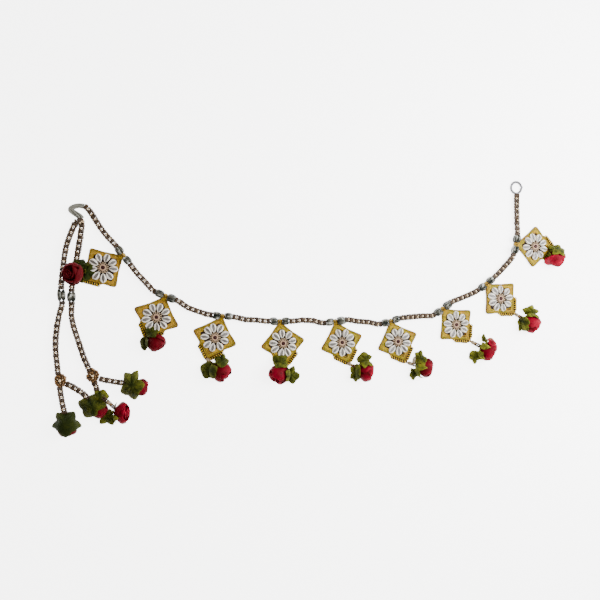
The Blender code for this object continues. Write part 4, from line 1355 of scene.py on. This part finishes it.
def petal(rose, layer, middle, seed):
    """One petal, a cupped sheet that is part of the way round the bud.

    Up the petal, its distance from the axis grows as a sine, then curls out at the lip. Across it, the
    rim falls away to both sides, one edge lies over the next petal, and the edge is waved. Soft pleats
    run up it, a sine of the place across.
    """
    rise = np.linspace(0, 1, 13)[:, None]
    across = np.linspace(-1, 1, 15)
    lip = np.clip((rise - 0.8) / 0.2, 0, 1)
    waved = ripple(across * 2.6, rise * 2.4, seed)
    cup = np.sin(math.pi / 2 * np.minimum(rise * 1.3, 1)) ** 0.75
    away = layer.away * (0.16 + 0.84 * cup) * (1 + 0.085 * across) + layer.curl * lip**2
    away = away * (1 + 0.038 * rise * waved)
    waist = 0.65 + 0.35 * np.sin(math.pi * np.minimum(rise + 0.2, 1)) ** 0.5
    half_width = math.radians(layer.half_width) * waist
    angle = middle + across * half_width * (1 - 0.12 * rise**4)
    reach = layer.reach * (1 - 0.16 * np.abs(across) ** 2.5) + 0.03 * ripple(across * 3, seed * 0.7, seed + 1)
    forward = -0.93 + (reach + 0.93) * rise - 0.1 * lip**2
    limit = np.sqrt(np.clip(1.03 - forward**2, 0.02, 1.2))
    away = np.minimum(away, limit + layer.curl * lip)
    pleat = np.sin(8.0 * across + 2.0 * rise + seed) * rise
    away = away * (1 + 0.022 * pleat)
    # The tone is painted shade and light: dark deep in the bud and lighter up the petal, shaded by the pleats,
    # dark at both side edges and towards the edge that tucks under the next petal, times the rose's painted
    # light.
    tone = 0.25 + 0.7 * rise**2.5 * (1 - 0.4 * np.abs(across)) + 0.15 * waved + 0.2 * pleat
    tone = tone - 0.6 * np.clip((np.abs(across) - 0.85) / 0.15, 0, 1)
    tone = rose.shade * np.clip(tone - 0.9 * np.clip(-across, 0, 1) ** 2.5, 0, 1)
    return sheet_patch(in_bud(rose, away * np.cos(angle), away * np.sin(angle), forward), tone)


def petals(rose, seed):
    """The heart and the layers of petals, each layer's petals at even turns about the bud's axis."""
    patches = [heart(rose, seed)]
    for layer in PETAL_LAYERS:
        for number in range(layer.petals):
            middle = TAU * number / layer.petals + math.radians(layer.turn) + seed * 0.9
            patches.append(petal(rose, layer, middle, seed * 31 + number + 7 * layer.petals))
    return patches


def sepals(rose, seed):
    """Five narrow pointed strips that hug the bud from its calyx."""
    patches = []
    rise = np.linspace(0, 1, 12)[:, None]
    across = np.linspace(-1, 1, 5)
    for number in range(5):
        middle = TAU * (number + 0.5) / 5 + seed
        reach = 0.45 + 0.15 * math.sin(seed * 5.0 + number * 2.1) + 0.6 * (rose.name in PALE_SEPALS)
        forward = -1.0 + reach * rise
        half_width = 0.5 * (1 - rise) ** 1.25 * (1 + 0.6 * rise) + 0.015
        angle = middle + across * half_width + 0.1 * np.sin(3 * rise + number)
        away = np.sqrt(np.clip(1 - forward**2, 0, 1)) * 1.04 + 0.05 + 0.05 * rise * np.abs(across)
        tone = 0.5 + 0.3 * rise - 0.35 * (1 - np.abs(across))
        patches.append(sheet_patch(in_bud(rose, away * np.cos(angle), away * np.sin(angle), forward), tone))
    return patches


def leaf_points(leaf, rose, seed):
    """A lobed leaf as rings about its middle, lying over whatever part of the bud is under it.

    Towards each lobe's tip the outline reaches to the leaf's size, and in the notches to a share of it.
    The height falls with the square of the distance from the middle, sinks in creases towards the
    notches, has a raised rib along each lobe, and an uneven crumple all over.
    """
    rings, spokes = 11, 60
    share = np.linspace(0, 1, rings + 1)[1:, None]
    angle = np.arange(spokes) * TAU / spokes
    off = np.abs((angle * leaf.lobes / TAU + 0.5) % 1 - 0.5) * 2
    notch = LEAF_NOTCH * (0.94 + 0.16 * ripple(angle, 2.0, seed))
    reach = (1 - (1 - notch) * off**0.85) * (1 + 0.05 * ripple(np.cos(angle) * 2, np.sin(angle) * 2, seed + 1))
    reach = reach * (1 + 0.045 * np.abs(np.sin(angle * leaf.lobes * 2.5)) * share**4)
    if leaf.bare is not None:
        apart = (np.degrees(angle) + leaf.turn - leaf.bare + 180) % 360 - 180
        reach = reach * (1 - 0.5 * np.exp(-((apart / 38) ** 2)))
    turn = angle + math.radians(leaf.turn) + 0.1 * share**2 * ripple(angle * 1.5, 5.0, seed + 3)
    x = leaf.x + leaf.long / 2 * share * reach * np.cos(turn)
    y = leaf.y + leaf.wide / 2 * share * reach * np.sin(turn)
    z = leaf.middle + (leaf.edge - leaf.middle) * share**2
    z = z - 2.8 * off**2 * np.sin(math.pi * share * 0.8) - 0.9 * np.exp(-((off / 0.13) ** 2)) * share
    z = z + 1.1 * ripple(x / 3.6, y / 3.6, seed + 5) * share
    z = z + 1.5 * share**3 * ripple(angle * 1.8, 1.0, seed + 8)
    if rose.name != "rose_1":
        over = bud_top(rose, x, y) + 0.9
        z = 0.5 * (z + over + np.sqrt((z - over) ** 2 + 1.5))
    z = np.maximum(z, 0.5)
    # The tone is painted shade: darker at the middle, in the creases towards the notches and along each lobe's
    # middle near the centre, lighter at the rim, with some random spread. The rose's shade factor darkens the
    # whole leaf of roses on the left as painted shade.
    tone = 0.25 + 0.65 * share * (1 - 0.8 * off**1.2) + 0.2 * ripple(x / 4, y / 4, seed + 9)
    tone = tone - 0.5 * np.exp(-((off / 0.12) ** 2)) * (1 - share) + 0.25 * share**8
    tone = np.clip(tone * (0.05 + 0.95 * min(1.0, 1.1 * rose.shade + 0.05)), 0, 1)
    points = np.stack(np.broadcast_arrays(x, y, z), axis=-1)
    middle = np.array((leaf.x, leaf.y, float(points[0, :, 2].mean())))
    return points, middle, tone


def leaf_patch(leaf, rose, seed):
    """The leaf's rings round a middle point. Its faces look up."""
    points, middle, tone = leaf_points(leaf, rose, seed)
    rings, spokes = points.shape[:2]
    quads, _ = grid_faces(rings, spokes, close_columns=True)
    j = np.arange(spokes)
    fan = np.stack((0 * j, 1 + j, 1 + (j + 1) % spokes), axis=-1)
    points = np.vstack((middle, points.reshape(-1, 3)))
    faces = [fan, quads[:, ::-1] + 1]
    places = points[:, :2] / 10
    # The middle point's low tone is painted shade at the leaf's centre.
    return Patch(points, faces, [places[face] for face in faces], np.concatenate(((0.1,), tone.ravel())), 0)


def stem_route(rose):
    """The thread from the tile's free corner, or from the string, up into the bud."""
    if rose.name in LONG_STEM:
        return np.array(LONG_STEM[rose.name], float)
    heading = heading_vector(HANGERS[rose.tile - 1].tile_turn)
    tip = float(square_reach(np.array(0.0), TILE_HALF + TRIM_WIDTH, TRIM_ROUND)) - 3.0
    start = tile_middle(rose.tile) + tip * heading
    into = np.array((rose.x, rose.y))
    height = rose.lift + rose.tall / 3
    return np.array([(*start, 3.0), (*((start + into) / 2), 0.5 * height + 1.5), (*into, height)])


class TORAN_OT_roses(bpy.types.Operator):
    """Makes the fabric roses with their sepals, leaves, threads and small beads"""

    bl_idname = "toran.roses"
    bl_label = "Roses"

    def execute(self, context):
        sizes, colours = looks(context)
        for seed, rose in enumerate(ROSES, 1):
            self.make_rose(rose, seed, sizes.cloth_thickness / MM, colours)
        return {"FINISHED"}

    def make_rose(self, rose, seed, thickness, colours):
        satin = own("red_satin", satin_finish, colours.satin, colours.satin_painted_shade, colours.satin_painted_highlight)
        pale = own("pale_sepal_cloth", leaf_finish, colours.sepal, shade_of(colours.leaf_shade_and_mottle, 2.0))
        green = own("olive_leaf_cloth", leaf_finish, colours.leaf, colours.leaf_shade_and_mottle)
        bud = thicken(build(rose.name + "_petals", petals(rose, seed), [satin]), thickness)
        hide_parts(rose.name)
        cloth = pale if rose.name in PALE_SEPALS else green
        collar = thicken(build(rose.name + "_sepals", sepals(rose, seed), [cloth]), thickness)
        round(cloth_area(bud) / 0.04, 3)
        leaves = [("leaf", row) for row in LEAVES if row.rose == rose.name]
        leaves += [("loose_petal", row) for row in LOOSE_PETALS if row.rose == rose.name]
        for number, (kind, leaf) in enumerate(leaves):
            cloth = green if kind == "leaf" else satin
            patch = leaf_patch(leaf, rose, seed * 5 + number)
            made = thicken(build(f"{rose.name}_{kind}_{number + 1}", [patch], [cloth]), thickness)
            flat = leaf.long * MM * LEAF_CUT, leaf.wide * MM * LEAF_CUT
            min(max(cloth_area(made) * 0.95, 0.31 * flat[0] * flat[1]), flat[0] * flat[1])
        if rose.tile or rose.name in LONG_STEM:
            self.make_stem(rose, seed, colours)

    def make_stem(self, rose, seed, colours):
        """The beaded thread: a clear bead at the tile's corner, gold beads after it."""
        route = smooth_route(stem_route(rose), 1.0)
        draw = np.random.default_rng(seed)
        whole = distances(route)[-1]
        shares = STEM_BEADS.get(rose.name, (0.12, 0.3))
        at = np.array(shares) * whole
        side, up, ahead = axes_on_route(route, at)
        centre = on_route(route, at)
        clear = bead_copies(
            PEBBLE_FORM, centre[:1] - 2.2 * ahead[:1], (side[:1], up[:1], ahead[:1]), (3.9, 3.9, 5.2), 0, 0.15)
        gold = bead_copies(
            ROUND_FORM, centre + 2.8 * ahead, (side, up, ahead), (3.3, 3.3, 2.7), 1,
            draw.uniform(0.3, 1, len(at)))
        sparse = route[::4] if len(route) > 12 else route
        apart = 2.2 * np.sin(np.linspace(0.25, math.pi - 0.25, len(sparse)))[:, None]
        aside = axes_on_route(sparse, distances(sparse))[0]
        threads = [tube(sparse + hand * apart * aside, 0.95, 6, 2) for hand in (-1, 1)]
        seeds = np.arange(0.3 * whole, whole, 3.5)
        axes = axes_on_route(route, seeds)
        bulge = 2.1 * np.sin(math.pi * (0.08 + 0.84 * seeds / whole))[:, None] * axes[0]
        for hand in (-1, 1):
            threads.append(bead_copies(
                SEED_FORM, on_route(route, seeds) + hand * bulge, axes, (2.5, 2.5, 1.85), 3,
                draw.uniform(0, 1, len(seeds))))
        if rose.name in SIDE_BEADS:
            x, y, heading = SIDE_BEADS[rose.name]
            along, left, upright = level_axes(heading)
            threads.append(bead_copies(
                LONG_FORM, [(x, y, 6.0)], (left, upright, along), (4.4, 4.4, 8.5), 0, 1.0))
        made = build(
            rose.name + "_stem", [clear, gold, *threads],
            [own("cream_glass_beads", bead_finish, (0.26, 0.18, 0.1), (0.55, 0.52, 0.42), 0.0, 0.3, 0.1),
             gold_beads(colours), dark_thread(colours), barrel_beads(colours)])


def cloth_area(obj):
    """The area of one side of a sheet, in square metres, before it has its thickness."""
    areas = np.empty(len(obj.data.polygons))
    obj.data.polygons.foreach_get("area", areas)
    return float(areas.sum())


# Rosettes, loop and ring

class TORAN_OT_rosettes(bpy.types.Operator):
    """Makes the balls of gold beads where the side strings part"""

    bl_idname = "toran.rosettes"
    bl_label = "Rosettes"

    def execute(self, context):
        sizes, colours = looks(context)
        for seed, row in enumerate(ROSETTES):
            self.make_rosette(row, sizes.rosette_beads, seed, colours)
        return {"FINISHED"}

    def make_rosette(self, row, count, seed, colours):
        """Beads on a flattened ball at even turns of the golden angle, round a dark core."""
        draw = np.random.default_rng(300 + seed)
        k = np.arange(count)
        level = 1 - 2 * (k + 0.5) / count
        turn = k * math.pi * (3 - math.sqrt(5)) + seed
        out = np.stack((np.sqrt(1 - level**2) * np.cos(turn), np.sqrt(1 - level**2) * np.sin(turn), level), -1)
        half = np.array((row.half_x, row.half_y, row.half_z))
        middle = np.array((row.x, row.y, row.half_z))
        size = draw.uniform(2.2, 3.6, (count, 1))
        centres = middle + out * (half - 2.6) * draw.uniform(0.84, 1.12, (count, 1))
        centres[:, 2] = np.maximum(centres[:, 2], size[:, 0] + 0.05)
        beads = bead_copies(
            ROUND_FORM, centres, UPRIGHT, size * np.ones(3), 0, draw.uniform(0, 1, count) ** 2)
        spots = middle + (0, 0, row.half_z) + np.array(
            ((0, 0, -1.2), (4.6, 2.0, -2.6), (-4.2, 3.0, -2.6), (0.6, -4.8, -2.6)))
        top = bead_copies(
            ROUND_FORM, spots, UPRIGHT, ((2.7, 2.7, 2.4), *3 * [(1.5, 1.5, 1.5)]), 2, (0.9, 0.5, 0.3, 0.6))
        core = turned_shape(bead_profile(8, 2.0), 20) * (half - 2.6) + middle
        made = build(
            row.name + "_beads", [beads, top, closed_patch(core, 8, 20, 1)],
            [gold_beads(colours), dark_thread(colours), pearl_beads(colours)])
        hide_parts(row.name)


class TORAN_OT_hanging_loop(bpy.types.Operator):
    """Makes the folded bundle of grey cord and the dark binding where the strings leave it"""

    bl_idname = "toran.hanging_loop"
    bl_label = "Hanging Loop"

    def execute(self, context):
        colours = looks(context)[1]
        route = smooth_route(at_height(LOOP_ROUTE, LOOP_RADIUS), LOOP_STEP / 3, LOOP_STRAIGHT)
        at = distances(route)
        side, up, _ = axes_on_route(route, at)
        strands = [tube(route, 2.8, 8, 0)]
        spread_out = 1 + 0.3 * np.clip((at / at[-1] - 0.45) / 0.3, 0, 1)
        for number in range(LOOP_STRANDS):
            angle = TAU * number / LOOP_STRANDS + at / 26.0
            away = 3.1 + 0.25 * np.sin(at / 5.0 + number)
            path = route + (away * spread_out * np.cos(angle))[:, None] * side
            path = path + (away * np.sin(angle))[:, None] * up
            path[:, 2] = np.maximum(path[:, 2], LOOP_STRAND_RADIUS + 0.02)
            strands.append(tube(path, LOOP_STRAND_RADIUS, 8, 0))
        made = build(
            "hanging_loop_cords", strands,
            [own("grey_cord", cord_finish, colours.cord, shade_of(colours.cord, 2.2), 5.0)])
        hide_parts("hanging_loop")
        self.make_knot(colours)
        return {"FINISHED"}

    def make_knot(self, colours):
        """The binding: a ridged oval of thread, with brown beads and pearls bunched below it."""
        x, y, half_x, half_y, half_z = KNOT
        step = np.linspace(-1, 1, 45)[1:-1, None]
        angle = np.arange(24) * TAU / 24
        swell = (1 - np.abs(step) ** 2.6) ** 0.5 * (1 + 0.07 * np.cos(TAU * 6 * step + angle))
        points = np.stack(np.broadcast_arrays(
            x + 1.5 - 0.62 * swell * half_x * np.cos(angle), y + 1.2 + (half_y - 1.2) * step,
            half_z + swell * half_z * np.sin(angle) * 0.9), -1)
        ends = np.array(((x + 1.5, y + 2.4 - half_y, half_z), (x + 1.5, y + half_y, half_z)))
        points = np.vstack((ends[:1], points.reshape(-1, 3), ends[1:]))
        draw = np.random.default_rng(7)
        turn = draw.uniform(0, TAU, 26)
        away = np.stack((np.cos(turn), draw.uniform(-0.9, 0.35, 26), np.sin(turn)), -1)
        centres = np.array((x, y, half_z)) + away * (half_x - 2.6, half_y - 1.6, half_z - 1.8)
        centres[:, 2] = np.maximum(centres[:, 2], 2.3)
        axes = (UPRIGHT[0], -UPRIGHT[2], UPRIGHT[1])
        brown = bead_copies(BUNCHED_FORM, centres[:18], axes, (2.2, 2.2, 3.0), 1, draw.uniform(0, 1, 18))
        cream = bead_copies(BUNCHED_FORM, centres[18:], axes, (1.8, 1.8, 1.8), 2, draw.uniform(0, 1, 8))
        knot = build(
            "loop_binding", [closed_patch(points, 43, 24, 0, 0.5, (1, 1.3)), brown, cream],
            [dark_thread(colours), barrel_beads(colours), pearl_beads(colours)])


class TORAN_OT_hanging_ring(bpy.types.Operator):
    """Makes the ring of wire wound with pale thread"""

    bl_idname = "toran.hanging_ring"
    bl_label = "Hanging Ring"

    def execute(self, context):
        colours = looks(context)[1]
        steps, around = 300, 10
        turn = np.arange(steps) * TAU / steps
        foot = np.exp(-(((turn - 1.5 * math.pi) / 0.3) ** 2))
        kink = np.exp(-(((np.abs((turn - 0.12 + math.pi) % TAU - math.pi)) / 0.12) ** 2))
        reach = (RING_RADIUS + 0.5 * foot + 1.5 * kink - 0.25 * np.cos(2 * turn))[:, None]
        circle = np.arange(around) * TAU / around
        wire = (RING_WIRE_RADIUS + RING_WINDING) * (1 + 0.1 * np.cos(2 * circle + 70 * turn[:, None]))
        radius = reach + wire * np.cos(circle)
        points = np.stack(np.broadcast_arrays(
            RING_MIDDLE[0] + radius * np.cos(turn)[:, None], RING_MIDDLE[1] + radius * np.sin(turn)[:, None],
            RING_WIRE_RADIUS + 0.25 + wire * np.sin(circle)), -1).reshape(-1, 3)
        faces, corners = grid_faces(steps, around, True, True)
        ring = Patch(points, [faces[:, ::-1]], [corners * (1, 60)], np.full(len(points), 0.5), 0)
        thread = own("pale_wound_thread", cord_finish, colours.wire, shade_of(colours.wire, 2.1), 1.0)
        foot_x, foot_y = RING_MIDDLE[0] - RING_LEAN, RING_MIDDLE[1] - RING_RADIUS
        collar = np.array([(foot_x, foot_y - 6.5 + 0.5 * k, 2.6) for k in range(17)])
        swell = 1.9 + 0.5 * np.sin(np.linspace(0, math.pi, 17)) + 0.14 * np.cos(np.arange(17) * math.pi)
        made = build("hanging_ring_wire", [ring, tube(collar, swell[:, None], 12, 0)], [thread])
        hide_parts("hanging_ring")
        return {"FINISHED"}


class TORAN_OT_stage(bpy.types.Operator):
    """Sets the camera, the pale table and the soft lights"""

    bl_idname = "toran.stage"
    bl_label = "Stage"

    def execute(self, context):
        colours = looks(context)[1]
        self.make_camera(context)
        square = ((-1, -1), (1, -1), (1, 1), (-1, 1))
        mesh = bpy.data.meshes.new("table")
        mesh.from_pydata([(x * TABLE_HALF, y * TABLE_HALF, TABLE_LEVEL) for x, y in square], [], [range(4)])
        mesh.materials.append(own("pale_table", table_finish, colours.table))
        table = bpy.data.objects.new("table", mesh)
        context.scene.collection.objects.link(table)
        table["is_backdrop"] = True
        world = bpy.data.worlds.new("studio")
        world.use_nodes = True
        background = world.node_tree.nodes["Background"]
        background.inputs["Color"].default_value = WORLD_COLOUR
        background.inputs["Strength"].default_value = WORLD_STRENGTH
        context.scene.world = world
        for row in LIGHTS:
            self.make_light(context, row)
        return {"FINISHED"}

    def make_camera(self, context):
        """The camera's axes are a turn of the plan's about Y, and it stands back along its own Z."""
        lean = math.radians(CAMERA_LEAN)
        right = Vector((math.cos(lean), 0, math.sin(lean)))
        back = Vector((-math.sin(lean), 0, math.cos(lean)))
        target = Vector((-MIDDLE[0] * MM, -MIDDLE[1] * MM, 0))
        data = bpy.data.cameras.new("camera")
        data.lens = CAMERA_LENS
        data.sensor_width = CAMERA_SENSOR
        camera = bpy.data.objects.new("camera", data)
        matrix = Matrix.Identity(4)
        for column, axis in enumerate((right, Vector((0, 1, 0)), back, target + CAMERA_AWAY * back)):
            for row in range(3):
                matrix[row][column] = axis[row]
        camera.matrix_world = matrix
        context.scene.collection.objects.link(camera)
        context.scene.camera = camera

    def make_light(self, context, row):
        """A square lamp at its place, turned to its aim."""
        data = bpy.data.lights.new(row.name, "AREA")
        data.size = row.size
        data.energy = row.power
        data.color = row.colour
        light = bpy.data.objects.new(row.name, data)
        light.location = row.place
        light.rotation_euler = (Vector(row.place) - Vector(row.aim)).to_track_quat("Z", "Y").to_euler()
        context.scene.collection.objects.link(light)


OPERATORS = (
    TORAN_OT_stage,
    TORAN_OT_bead_strings,
    TORAN_OT_hangers,
    TORAN_OT_tiles,
    TORAN_OT_roses,
    TORAN_OT_rosettes,
    TORAN_OT_hanging_loop,
    TORAN_OT_hanging_ring,
)


class TORAN_PT_panel(bpy.types.Panel):
    """Lists the toran's pieces, sizes and colours"""

    bl_idname = "TORAN_PT_panel"
    bl_label = "Toran"
    bl_space_type = "VIEW_3D"
    bl_region_type = "UI"
    bl_category = "Toran"

    def draw(self, context):
        for operator in OPERATORS:
            self.layout.operator(operator.bl_idname)
        for group in looks(context):
            for name in group.__annotations__:
                self.layout.prop(group, name)


CLASSES = (ToranSizes, ToranColours, *OPERATORS, TORAN_PT_panel)


def register():
    """Registers the classes, and puts the sizes and colours on the scene."""
    for row in CLASSES:
        bpy.utils.register_class(row)
    bpy.types.Scene.toran_sizes = PointerProperty(type=ToranSizes)
    bpy.types.Scene.toran_colours = PointerProperty(type=ToranColours)


def unregister():
    """Undoes register, in reverse order."""
    del bpy.types.Scene.toran_colours
    del bpy.types.Scene.toran_sizes
    for row in reversed(CLASSES):
        bpy.utils.unregister_class(row)


def main():
    """Makes the whole scene."""
    register()
    bpy.ops.toran.stage()
    bpy.ops.toran.bead_strings()
    bpy.ops.toran.hangers()
    bpy.ops.toran.tiles()
    bpy.ops.toran.roses()
    bpy.ops.toran.rosettes()
    bpy.ops.toran.hanging_loop()
    bpy.ops.toran.hanging_ring()
    boxes = {"solids": SOLID_BOX, "scene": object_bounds()}
    {name: [list(corner) for corner in box] for name, box in boxes.items()}


if __name__ == "__main__":
    main()
